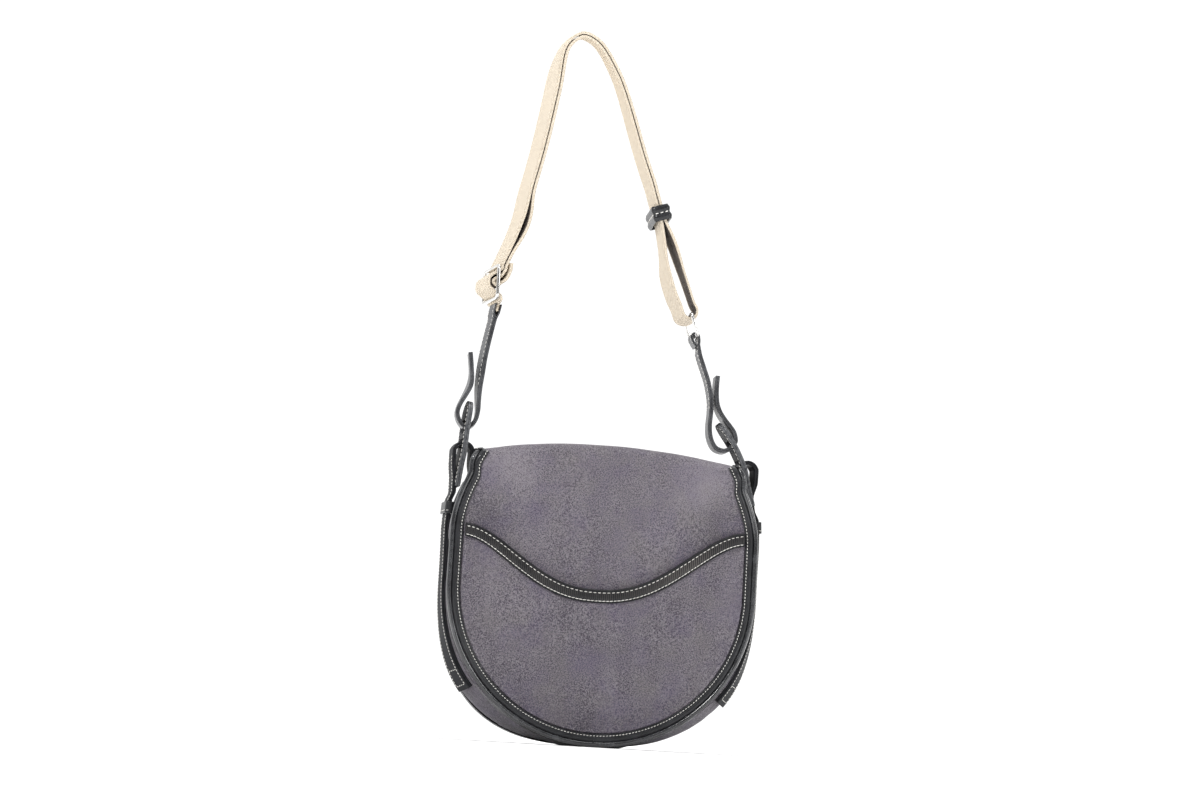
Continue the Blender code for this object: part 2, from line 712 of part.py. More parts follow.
def lining():
    """Fabric lining: an open-topped bag just inside the panels and the gusset."""
    inset = GUSSET_SEAT + GUSSET_THICK + GAP
    half = BODY_HALF_DEPTH - SUEDE - GAP
    points = [p for p in rim_offset_points(-inset) if p.y < LINING_TOP]
    points = [Vector((points[0].x, LINING_TOP))] + points + [Vector((points[-1].x, LINING_TOP))]
    inner = [place + normal * LINING_THICK
             for place, normal in zip(points, path_normals(points))]
    inner[0].y = LINING_TOP
    inner[-1].y = LINING_TOP
    body = bmesh.new()

    def row(path, depth):
        return [body.verts.new((p.x, depth, p.y)) for p in path]

    back, front = row(points, -half), row(points, half)
    back_in, front_in = row(inner, LINING_THICK - half), row(inner, half - LINING_THICK)
    body.faces.new(back)
    body.faces.new(front)
    body.faces.new(back_in)
    body.faces.new(front_in)
    for index in range(len(points) - 1):
        after = index + 1
        body.faces.new((back[index], back[after], front[after], front[index]))
        body.faces.new((back_in[index], back_in[after], front_in[after], front_in[index]))
    for end in (0, -1):
        body.faces.new((back[end], front[end], front_in[end], back_in[end]))
    for outside, inside in ((back, back_in), (front, front_in)):
        body.faces.new((outside[0], outside[-1], inside[-1], inside[0]))
    return body


def bottom_board():
    """Stiff board that lies between the lining and the bottom of the gusset."""
    top = GUSSET_SEAT + GUSSET_THICK
    rings = []
    for step in range(ARC_STEPS + 1):
        turn = BOARD_HALF_TURN * (2 * step / ARC_STEPS - 1)
        out = Vector((math.sin(turn), -math.cos(turn)))
        ring = []
        for offset, depth in ((top, -BOARD_HALF_WIDTH), (top, BOARD_HALF_WIDTH),
                              (top - BOARD_THICK, BOARD_HALF_WIDTH),
                              (top - BOARD_THICK, -BOARD_HALF_WIDTH)):
            spot = Vector((0.0, RIM_RADIUS)) + out * (RIM_RADIUS - offset)
            ring.append((spot.x, depth, spot.y))
        rings.append(ring)
    return skin(rings)


def disc(radius, low, high, height, bore=0.0):
    """Round plate on the Y axis at a height on the front, solid or with a bore."""
    rings = []
    circles = [(radius, low), (radius, high)]
    if bore:
        circles += [(bore, high), (bore, low)]
    sides = ROUND_SIDES * 2
    for size, depth in circles:
        rings.append([(size * math.cos(2 * math.pi * side / sides), depth,
                       height + size * math.sin(2 * math.pi * side / sides))
                      for side in range(sides)])
    return skin(rings, closed=bool(bore))


def side_strap_path(side):
    """Side strap: up the gusset, through the keeper, over the arch and down inside."""
    seat = GUSSET_BULGE - GUSSET_SEAT + GAP
    tight = KEEPER_WALL - GUSSET_SEAT + 2 * GAP
    path = []
    for place, normal, _share in outline_half():
        turn = math.atan2(place.y - RIM_RADIUS, place.x)
        if turn < SIDE_STRAP_START or place.y > KEEPER_CENTRE - KEEPER_HEIGHT:
            continue
        inner = tight + (seat - tight) * gusset_bulge(place.y)
        path.append(place + normal * (inner + SIDE_STRAP_THICK / 2))
    above = RIM_RADIUS + tight + SIDE_STRAP_THICK / 2 - KEEPER_STEP_IN
    path.append(Vector((above, KEEPER_CENTRE + KEEPER_HEIGHT / 2 + OVERRUN)))
    centre = Vector((ARCH_CENTRES[side], ARCH_CENTRE_HEIGHT))
    path.append(Vector((centre.x + ARCH_RADIUS, ARCH_LEG_HEIGHT)))
    turns = ARC_STEPS - 1
    path += [centre + ARCH_RADIUS * Vector((math.cos(turn), math.sin(turn)))
             for turn in (math.pi * step / turns for step in range(turns + 1))]
    inside = rim_offset_points(-GUSSET_SEAT - GUSSET_THICK, GUSSET_END_SHARE)[-1].x
    inside -= GAP + SIDE_STRAP_THICK / 2
    path.append(Vector((centre.x - ARCH_RADIUS, (ARCH_LEG_HEIGHT + ARCH_CENTRE_HEIGHT) / 2)))
    path.append(Vector((inside, INNER_LEG_TURN)))
    path.append(Vector((inside, INNER_LEG_END)))
    return [Vector((side * p.x, p.y)) for p in path]


def side_strap(side):
    """Leather strap that carries one hanger tab."""
    return even_ribbon(side_strap_path(side), SIDE_STRAP_WIDTH, SIDE_STRAP_THICK)


def nearest_on_path(path, height):
    """Point and direction of the first stretch of a path that passes a height."""
    for low, high in zip(path, path[1:]):
        if low.y <= height <= high.y:
            share = (height - low.y) / (high.y - low.y)
            return low.lerp(high, share), (high - low).normalized()
    return path[0], Vector((0.0, 1.0))


def side_keeper(side):
    """Leather loop that holds the side strap to the gusset."""
    place, along = nearest_on_path(side_strap_path(side), KEEPER_CENTRE)
    out = Vector((along.y, -along.x))
    hole = Vector((SIDE_STRAP_THICK / 2 + GAP, SIDE_STRAP_WIDTH / 2 + RUNNING_GAP))
    return square_loop(place, along, out, hole, KEEPER_WALL, KEEPER_HEIGHT)


def tab_point(side, run):
    """Point and heading along a hanger tab; run 0 is where it crosses the arch."""
    crossing = ARCH_CROSSINGS[side]
    place = Vector((ARCH_CENTRES[side], ARCH_CENTRE_HEIGHT))
    place += ARCH_RADIUS * Vector((math.cos(crossing), math.sin(crossing)))
    heading = TAB_HEADINGS[side]
    bend = TAB_BEND_PER_METRE * TAB_BEND_SHARES[side]
    chord = heading + bend * run / 2
    place += run * Vector((math.cos(chord), math.sin(chord)))
    return place, heading + bend * run


def slot_loop(run, height, width):
    """Outline of a slot across a tab, its corners eased."""
    tall, wide = height / 2, width / 2
    return [(run + a, b) for a, b in (
        (tall, wide - SLOT_CORNER), (tall - SLOT_CORNER, wide), (SLOT_CORNER - tall, wide),
        (-tall, wide - SLOT_CORNER), (-tall, SLOT_CORNER - wide), (SLOT_CORNER - tall, -wide),
        (tall - SLOT_CORNER, -wide), (tall, SLOT_CORNER - wide))]


def hanger_tab(side):
    """Leather tab with a round tip; the arch passes one slot and the strap end the other."""
    spacing = SLOT_SPACINGS[side]
    half = TAB_WIDTH / 2
    tip = spacing + TAB_TIP_BEYOND_SLOT
    outline = [(-TAB_TAIL, half), (-TAB_TAIL, -half)]
    for step in range(TIP_STEPS + 1):
        turn = math.pi * step / TIP_STEPS - math.pi / 2
        outline.append((tip - half + half * math.cos(turn), half * math.sin(turn)))
    lower = slot_loop(0.0, LOWER_SLOT_HEIGHT, SIDE_STRAP_WIDTH + 2 * RUNNING_GAP)
    upper = slot_loop(spacing, UPPER_SLOT_HEIGHT, END_STRAP_WIDTH + 2 * UPPER_SLOT_SIDE_GAP)

    def place(run, across, depth):
        spot, heading = tab_point(side, run)
        out = Vector((-math.sin(heading), math.cos(heading))) * (TAB_THICK / 2 - depth)
        spot = spot + out
        return (side * spot.x, STRAP_PLANE_Y + across, spot.y)

    cuts = steps_between(-TAB_TAIL, tip, SHEET_STEP / 2)
    return filled_sheet([outline, lower, upper], cuts, [0.0], place, TAB_THICK)


def loop_frame(side):
    """Foot and upward direction of a strap end's teardrop loop, as on the right side."""
    lean = math.pi / 2 + LOOP_LEANS[side]
    up = Vector((math.cos(lean), math.sin(lean)))
    inward = Vector((-up.y, up.x))
    share = CROSSING_SHARES[side]
    crossing, _heading = tab_point(side, SLOT_SPACINGS[side])
    foot = crossing - inward * share[0] * LOOP_HALF_WIDTH - up * share[1] * LOOP_HEIGHT
    return foot, up, inward


def loop_points(side):
    """Control points of a teardrop loop from the strap to its free tail."""
    foot, up, inward = loop_frame(side)
    return [foot + inward * a * LOOP_HALF_WIDTH + up * b * LOOP_HEIGHT for a, b in LOOP_SHARES]


def bow_to(start, direction, end, arrival):
    """Points of an easy curve from one place and direction to another."""
    pull = (end - start).length / 3
    return [cubic(start, start + direction * pull, end - arrival * pull, end, step / BOW_STEPS)
            for step in range(1, BOW_STEPS + 1)]


def strap_end_left():
    """Left leather strap end: teardrop loop below, top that thickens for the webbing."""
    points = loop_points(-1)
    top = Vector((-LEFT_END_X, LEFT_END_TOP))
    up = (points[0] - points[1]).normalized()
    straight = top - Vector((0.0, FORK_LENGTH + OVERRUN))
    rise = bow_to(points[0], up, straight, Vector((0.0, 1.0)))
    path = [top] + smooth_path(list(reversed(rise)) + points)
    path = [Vector((-p.x, p.y)) for p in path]
    fork_start = LEFT_END_TOP - 2 * FORK_LENGTH
    spread = WEB_THICK + 2 * GAP
    thicks = [END_STRAP_THICK + spread * smooth_step((p.y - fork_start) / FORK_LENGTH) for p in path]
    return ribbon(path, [END_STRAP_WIDTH] * len(path), thicks)


def fork_cutter():
    """Space between the two plies of the left strap end that takes the webbing."""
    path = [Vector((LEFT_END_X, LEFT_END_TOP + OVERRUN)),
            Vector((LEFT_END_X, LEFT_END_TOP - FORK_LENGTH / 2)),
            Vector((LEFT_END_X, LEFT_END_TOP - FORK_LENGTH))]
    return even_ribbon(path, END_STRAP_WIDTH + 2 * OVERRUN, WEB_THICK + 2 * GAP)


def ring_axes():
    """Lower bar's centre, direction to the upper bar, and outward direction of the ring."""
    up = Vector((-math.sin(RING_LEAN), math.cos(RING_LEAN)))
    return Vector((RING_LOW_X, RING_LOW_HEIGHT)), up, Vector((up.y, -up.x))


def strap_end_right():
    """Right leather strap end: teardrop loop below and a sewn eye round the ring's bar."""
    points = loop_points(1)
    centre, up, out = ring_axes()
    radius = WIRE_RADIUS + RUNNING_GAP + END_STRAP_THICK / 2
    eye = [centre + out * (a * radius) + up * (b * radius) for a, b in EYE_SHARES]
    start = (points[0] - points[1]).normalized()
    rise = bow_to(points[0], start, eye[0], up)
    path = smooth_path(list(reversed(rise[:-1] + eye)) + points)
    return even_ribbon(path, END_STRAP_WIDTH, END_STRAP_THICK)


def web_middle():
    """Line between the two webbing layers, from the slide over the arch to the keeper."""
    wrap = web_wrap()
    outer, inner = SLIDE_OUT_SHARES[-1], SLIDE_IN_SHARES[0]
    start = (slide_point(outer, wrap) + slide_point(inner, wrap)) / 2
    foot = Vector((STRAP_ARCH_X, STRAP_ARCH_FOOT))
    arch = [foot + Vector((a * STRAP_ARCH_SPAN, b * STRAP_ARCH_RISE)) for a, b in ARCH_SHARES]
    keeper, along = keeper_axis()
    run = [keeper - along * WEB_RUN_ABOVE, keeper + along * WEB_RUN_BELOW]
    middle = smooth_path([start] + arch + run[:1])
    return middle[:-1] + run


def web_wrap():
    """Radius at which webbing passes round a bar."""
    return WIRE_RADIUS + RUNNING_GAP + WEB_THICK / 2


def slide_point(share, wrap):
    """Place near the slide: two shares of the wrap radius and one of the bar spacing."""
    outward, rise, bars = share
    return Vector((LEFT_END_X - outward * wrap,
                   SLIDE_CENTRE_HEIGHT + rise * wrap + bars * SLIDE_HALF_HEIGHT))


def keeper_axis():
    """Centre of the webbing keeper and the direction of the webbing down through it."""
    keeper = Vector((STRAP_ARCH_X + KEEPER_SHARE[0] * STRAP_ARCH_SPAN,
                     STRAP_ARCH_FOOT + KEEPER_SHARE[1] * STRAP_ARCH_RISE))
    return keeper, -ring_axes()[1]


def web_strand(shares, start, ring_top):
    """One strand below the keeper, as (share of the way up, share of the spread) points."""
    _centre, up, out = ring_axes()
    reach = (start - ring_top).dot(up)
    return [ring_top + up * (a * reach) + out * (b * WEB_STRAND_SPREAD) for a, b in shares]


def webbing():
    """Webbing: out of the strap end, through the slide, round the ring and back to the slide."""
    wrap = web_wrap()
    half = (WEB_THICK + WEB_LAYER_GAP) / 2
    middle = web_middle()
    normals = path_normals(middle)
    outer = [place + normal * half for place, normal in zip(middle, normals)]
    inner = [place - normal * half for place, normal in zip(middle, normals)]
    low, up, out = ring_axes()
    ring_top = low + up * RING_BAR_SPACING
    turn_radius = WIRE_RADIUS + RING_SEAT_GAP + RING_PLAY + WEB_THICK / 2
    centre = ring_top + up * RING_PLAY
    bend = [centre + out * (turn_radius * math.cos(turn)) - up * (turn_radius * math.sin(turn))
            for turn in (math.pi * step / BEND_STEPS for step in range(BEND_STEPS + 1))]
    strands = (web_strand(OUTER_STRAND_SHARES, outer[-1], ring_top) + bend
               + web_strand(INNER_STRAND_SHARES, inner[-1], ring_top))
    below = smooth_path([outer[-2], outer[-1]] + strands + [inner[-1], inner[-2]])
    weave = smooth_path([slide_point(share, wrap) for share in SLIDE_OUT_SHARES] + [outer[1]],
                        WEAVE_STEPS)
    fold = smooth_path([inner[1]] + [slide_point(share, wrap) for share in SLIDE_IN_SHARES],
                       WEAVE_STEPS)
    stub_top = Vector((LEFT_END_X, LEFT_END_TOP))
    stub = [stub_top - Vector((0.0, FORK_LENGTH - GAP)), stub_top]
    path = (stub + weave[:-1] + outer[1:-2] + below[:-1]
            + list(reversed(inner[1:-1])) + fold[1:])
    widths = [WEB_STUB_WIDTH] * len(stub) + [WEB_WIDTH] * (len(path) - len(stub))
    return ribbon(path, widths, [WEB_THICK] * len(path), edge_share=0.0)


def bar_frame(low, up, half_width):
    """Corner points of a rectangular wire frame with rounded corners."""
    spots = []
    for end, side in ((0, -1), (0, 1), (1, 1), (1, -1)):
        base = low if end == 0 else low + up
        along = up.normalized() * (1 if end == 0 else -1)
        corner = Vector((base.x, STRAP_PLANE_Y + side * half_width, base.y))
        lift = Vector((along.x, 0.0, along.y)) * WIRE_CORNER
        inward = Vector((0.0, -side * WIRE_CORNER, 0.0))
        before, after = (inward, lift) if (end == 0) == (side == 1) else (lift, inward)
        soft = corner + (before + after) * (1.0 - math.sqrt(0.5))
        spots += [corner + before, soft, corner + after]
    return spots


def ring():
    """Rectangular metal ring between the right strap end and the webbing."""
    low, up, _out = ring_axes()
    return rounded_wire(bar_frame(low, up * RING_BAR_SPACING, RING_HALF_WIDTH), WIRE_RADIUS)


def slide_frame():
    """Outer frame of the slide."""
    low = Vector((LEFT_END_X, SLIDE_CENTRE_HEIGHT - SLIDE_HALF_HEIGHT))
    rise = Vector((0.0, 2 * SLIDE_HALF_HEIGHT))
    return rounded_wire(bar_frame(low, rise, SLIDE_HALF_WIDTH), WIRE_RADIUS)


def slide_bar():
    """Centre bar of the slide."""
    ends = [Vector((LEFT_END_X, STRAP_PLANE_Y + side * SLIDE_HALF_WIDTH, SLIDE_CENTRE_HEIGHT))
            for side in (-1, 1)]
    return rounded_wire(ends, WIRE_RADIUS * SLIDE_BAR_SHARE, closed=False)


def web_keeper():
    """Leather loop round both layers of the webbing."""
    keeper, along = keeper_axis()
    out = Vector((-along.y, along.x))
    hole = Vector((WEB_THICK + WEB_LAYER_GAP / 2 + RUNNING_GAP, WEB_WIDTH / 2 + RUNNING_GAP))
    return square_loop(keeper, along, out, hole, WEB_KEEPER_WALL, WEB_KEEPER_HEIGHT)


def square_loop(place, along, out, hole, wall, height):
    """Open-ended loop with eased corners round a strap."""
    shell = hole + Vector((wall, wall))
    rings = []
    for half, ease, end in ((shell, wall, -1), (shell, wall, 1), (hole, GAP, 1), (hole, GAP, -1)):
        spot = place + along * (end * height / 2)
        ring = []
        for a, b in ((half.x, half.y - ease), (half.x - ease, half.y),
                     (ease - half.x, half.y), (-half.x, half.y - ease),
                     (-half.x, ease - half.y), (ease - half.x, -half.y),
                     (half.x - ease, -half.y), (half.x, ease - half.y)):
            flat = spot + out * a
            ring.append((flat.x, STRAP_PLANE_Y + b, flat.y))
        rings.append(ring)
    return skin(rings, closed=True)


def sway(point):
    """Lean the strap's far edge outwards on the left leg and upwards over the arch."""
    across = point.y - STRAP_PLANE_Y
    crest_height = STRAP_ARCH_FOOT + STRAP_ARCH_RISE
    if point.x < STRAP_ARCH_X + STRAP_ARCH_SPAN * CREST_SHARE:
        amount = smooth_step((point.z - SWAY_START) / (SWAY_FULL - SWAY_START))
        turn = math.pi / 2 * smooth_step((point.z - SWAY_TURN) / (crest_height - SWAY_TURN))
    else:
        amount = smooth_step((point.z - SWAY_END) / (crest_height - SWAY_END))
        turn = math.pi / 2
    out = Vector((-math.cos(turn), 0.0, math.sin(turn)))
    return point + out * (across * WEB_SWAY * amount)


def apply_sway(part):
    """Move every vertex of a strap piece by the strap's sway."""
    for vertex in part.data.vertices:
        vertex.co = sway(vertex.co)
    return part


def combine(part, tool, operation):
    """Join or cut a piece with a hidden guide body."""
    tool.hide_render = True
    tool.display_type = "WIRE"
    change = part.modifiers.new(operation.lower(), "BOOLEAN")
    change.operation = operation
    change.solver = "EXACT"
    change.object = tool


def build_body():
    """Panels, gusset, rims, pocket and lining."""
    add_object(back_panel(), "back_panel", SUEDE_NAP)
    add_object(front_panel(), "front_panel", SUEDE_NAP)
    add_object(gusset(), "gusset", SUEDE_NAP)
    add_object(pocket_panel(), "pocket_panel", SUEDE_NAP)
    add_object(pocket_trim(), "pocket_trim", LEATHER)
    add_object(lining(), "lining", LINING_CLOTH)
    add_object(bottom_board(), "bottom_board", FIBREBOARD)
    add_object(mouth_trim(), "mouth_trim", LEATHER)
    for facing, name in ((-1, "back"), (1, "front")):
        top = BACK_BINDING_TOP_SHARE if facing < 0 else GUSSET_END_SHARE
        add_object(flat_binding(facing, top, facing < 0), name + "_binding", LEATHER)
        add_object(rim_bead(facing), name + "_piping", LEATHER)
        add_object(rim_band(facing), name + "_rim_band", LEATHER)


def build_flap():
    """Flap with its binding and the snap that closes it."""
    add_object(flap_panel(), "flap_panel", SUEDE_NAP)
    add_object(flap_binding(), "flap_binding", LEATHER)
    face = BODY_HALF_DEPTH + GAP
    add_object(disc(SNAP_RADIUS, face, face + SNAP_SOCKET_THICK, SNAP_HEIGHT, SNAP_STUD_BORE),
               "snap_socket", NICKEL)
    inner = FLAP_FACE - SUEDE - GAP
    plate = add_object(disc(SNAP_RADIUS, inner - SNAP_PLATE_THICK, inner, SNAP_HEIGHT),
                       "snap_stud", NICKEL)
    stud = add_object(disc(SNAP_STUD_RADIUS, inner - SNAP_PLATE_THICK - SNAP_STUD_REACH,
                           inner - SNAP_PLATE_THICK / 2, SNAP_HEIGHT),
                      "snap_stud_pin", NICKEL)
    combine(plate, stud, "UNION")


def build_sides():
    """Side straps, keepers, hanger tabs and the bound ends of the roof."""
    for side, name in SIDE_NAMES.items():
        add_object(side_strap(side), "side_strap_" + name, LEATHER)
        add_object(side_keeper(side), "side_keeper_" + name, LEATHER)
        add_object(hanger_tab(side), "hanger_tab_" + name, LEATHER)
        add_object(roof_binding(side), "roof_binding_" + name, LEATHER)


def build_strap():
    """Shoulder strap: leather ends, webbing, slide, ring and keeper."""
    left = apply_sway(add_object(strap_end_left(), "strap_end_left", LEATHER))
    fork = apply_sway(add_object(fork_cutter(), "fork_guide", LEATHER))
    combine(left, fork, "DIFFERENCE")
    add_object(strap_end_right(), "strap_end_right", LEATHER)
    apply_sway(add_object(webbing(), "webbing", COTTON))
    frame = apply_sway(add_object(slide_frame(), "slide", NICKEL))
    bar = apply_sway(add_object(slide_bar(), "slide_bar_guide", NICKEL))
    combine(frame, bar, "UNION")
    add_object(ring(), "ring", NICKEL)
    add_object(web_keeper(), "web_keeper", LEATHER)


def main():
    """Build every piece of the bag."""
    clear_scene()
    build_body()
    build_flap()
    build_sides()
    build_strap()


main()
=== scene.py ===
"""Looks of a suede shoulder bag with leather edging, a folded flap and a webbing strap.

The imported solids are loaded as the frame, and each of them is replaced by a finer piece that is
modelled here in the same place: the suede shell, the bindings and beads, the leather straps with
their plies and stitches, the twill webbing, the bent-wire slide and ring, the lining and the snap.
"""

from __future__ import annotations

import json
import logging
import math
from bisect import bisect_right
from dataclasses import dataclass, field
from enum import Enum
from typing import Callable, NamedTuple, Sequence

import bpy
import numpy as np
from mathutils import Matrix, Vector, noise

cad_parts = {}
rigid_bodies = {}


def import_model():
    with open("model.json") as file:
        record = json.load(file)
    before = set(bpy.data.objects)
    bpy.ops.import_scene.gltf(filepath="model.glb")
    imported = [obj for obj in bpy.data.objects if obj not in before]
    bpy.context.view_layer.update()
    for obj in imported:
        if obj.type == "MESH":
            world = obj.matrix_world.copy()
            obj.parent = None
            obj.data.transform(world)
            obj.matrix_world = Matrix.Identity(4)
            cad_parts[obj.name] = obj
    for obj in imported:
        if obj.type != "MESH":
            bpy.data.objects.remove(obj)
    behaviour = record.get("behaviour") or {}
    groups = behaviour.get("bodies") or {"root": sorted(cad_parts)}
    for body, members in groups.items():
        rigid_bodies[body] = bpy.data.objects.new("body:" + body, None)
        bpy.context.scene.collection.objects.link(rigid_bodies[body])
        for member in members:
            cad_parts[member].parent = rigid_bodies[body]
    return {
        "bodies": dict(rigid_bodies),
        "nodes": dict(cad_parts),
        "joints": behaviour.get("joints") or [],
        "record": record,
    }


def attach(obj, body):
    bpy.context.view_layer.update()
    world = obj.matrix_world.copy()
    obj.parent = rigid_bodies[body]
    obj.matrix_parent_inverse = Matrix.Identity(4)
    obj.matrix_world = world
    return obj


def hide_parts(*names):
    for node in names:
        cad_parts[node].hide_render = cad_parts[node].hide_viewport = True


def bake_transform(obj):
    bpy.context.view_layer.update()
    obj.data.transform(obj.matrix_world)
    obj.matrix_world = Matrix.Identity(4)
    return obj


LOG = logging.getLogger("shoulder_bag")
FINE_MERGE = 1e-7

Piece = bpy.types.Object
Socket = bpy.types.NodeSocket
Pair = tuple[float, float]
Triple = tuple[float, float, float]
Line = Sequence[Vector]
Placing = Callable[[float, float], Vector]


class Body(Enum):
    """The bodies of the solid model that a piece can ride on."""

    BAG = "bag_body"
    FLAP = "flap"
    STRAP = "strap"
    RING = "ring"
    KEEPER = "keeper"


class Slot(Enum):
    """The material slots of the record."""

    SUEDE = "suede"
    LEATHER = "leather"
    COTTON = "cotton_webbing"
    NICKEL = "nickel"
    CLOTH = "lining_cloth"
    BOARD = "board"


class Side(Enum):
    """Left and right as seen in the photograph, with the sign of X."""

    LEFT = -1
    RIGHT = 1

    @property
    def word(self) -> str:
        """The side's name in the solids."""
        return self.name.lower()


class Station(NamedTuple):
    """A place on the rim with its outward direction and its share along the free shoulder."""

    place: Vector
    outward: Vector
    free: float


class Waves(NamedTuple):
    """Unevenness of a sheet: its waves both ways, the plane of noise it is cut from, height."""

    across: float
    along: float
    plane: float
    height: float

    def at(self, x: float, y: float) -> float:
        """Height of the unevenness at a place."""
        return noise.noise(Vector((x * self.across, y * self.along, self.plane))) * self.height


# Small geometry helpers


def ease(value: float) -> float:
    """Ease from 0 to 1."""
    value = min(max(value, 0.0), 1.0)
    return value * value * (3.0 - 2.0 * value)


def bezier(start: Vector, pull_start: Vector, pull_end: Vector, end: Vector, t: float) -> Vector:
    """Point of a cubic Bezier curve at a share of the way."""
    s = 1.0 - t
    return (start * s ** 3 + pull_start * (3 * s * s * t)
            + pull_end * (3 * s * t * t) + end * t ** 3)


def rounded_line(points: Line, steps: int = 12) -> list[Vector]:
    """Catmull-Rom curve through points.

    Args:
        points: flat or solid control points.
        steps: points drawn between two control points.

    Returns:
        The drawn points, the last control point included.
    """
    ends = [2 * points[0] - points[1], *points, 2 * points[-1] - points[-2]]
    line = []
    for before, start, end, after in zip(ends, ends[1:], ends[2:], ends[3:]):
        for step in range(steps):
            t = step / steps
            line.append(0.5 * (2 * start + (end - before) * t
                               + (2 * before - 5 * start + 4 * end - after) * t ** 2
                               + (3 * start - before - 3 * end + after) * t ** 3))
    line.append(points[-1].copy())
    return line


def reach_along(line: Line) -> list[float]:
    """Distance along a line at each of its points."""
    reach = [0.0]
    for before, after in zip(line, line[1:]):
        reach.append(reach[-1] + (after - before).length)
    return reach


def find_along(reach: Sequence[float], target: float) -> tuple[int, float]:
    """Index of the point before a distance, and the share of the way to the next one."""
    target = min(max(target, 0.0), reach[-1])
    index = min(bisect_right(reach, target), len(reach) - 1) - 1
    span = reach[index + 1] - reach[index]
    return index, (target - reach[index]) / span if span else 0.0


def even_line(line: Line, pitch: float) -> list[Vector]:
    """Draw a line again with points at an even distance of about the pitch."""
    reach = reach_along(line)
    count = max(int(round(reach[-1] / pitch)), 1)
    found = [find_along(reach, reach[-1] * step / count) for step in range(count + 1)]
    return [line[index].lerp(line[index + 1], share) for index, share in found]


def left_normals(line: Line) -> list[Vector]:
    """Left-hand normals of a flat line."""
    normals = []
    for index in range(len(line)):
        along = line[min(index + 1, len(line) - 1)] - line[max(index - 1, 0)]
        along = along.normalized()
        normals.append(Vector((-along.y, along.x)))
    return normals


def line_length(line: Line) -> float:
    """Length of a line."""
    return reach_along(line)[-1]


def toward(turn: float) -> Vector:
    """Flat unit vector at an angle."""
    return Vector((math.cos(turn), math.sin(turn)))


def stand(flat: Vector, y: float) -> Vector:
    """A flat point stood up in the XZ plane at a depth."""
    return Vector((flat.x, y, flat.y))


def pick(items: Sequence, share: float):
    """The item of a list at a share of its length."""
    return items[int(round(share * (len(items) - 1)))]


# The modelling bench


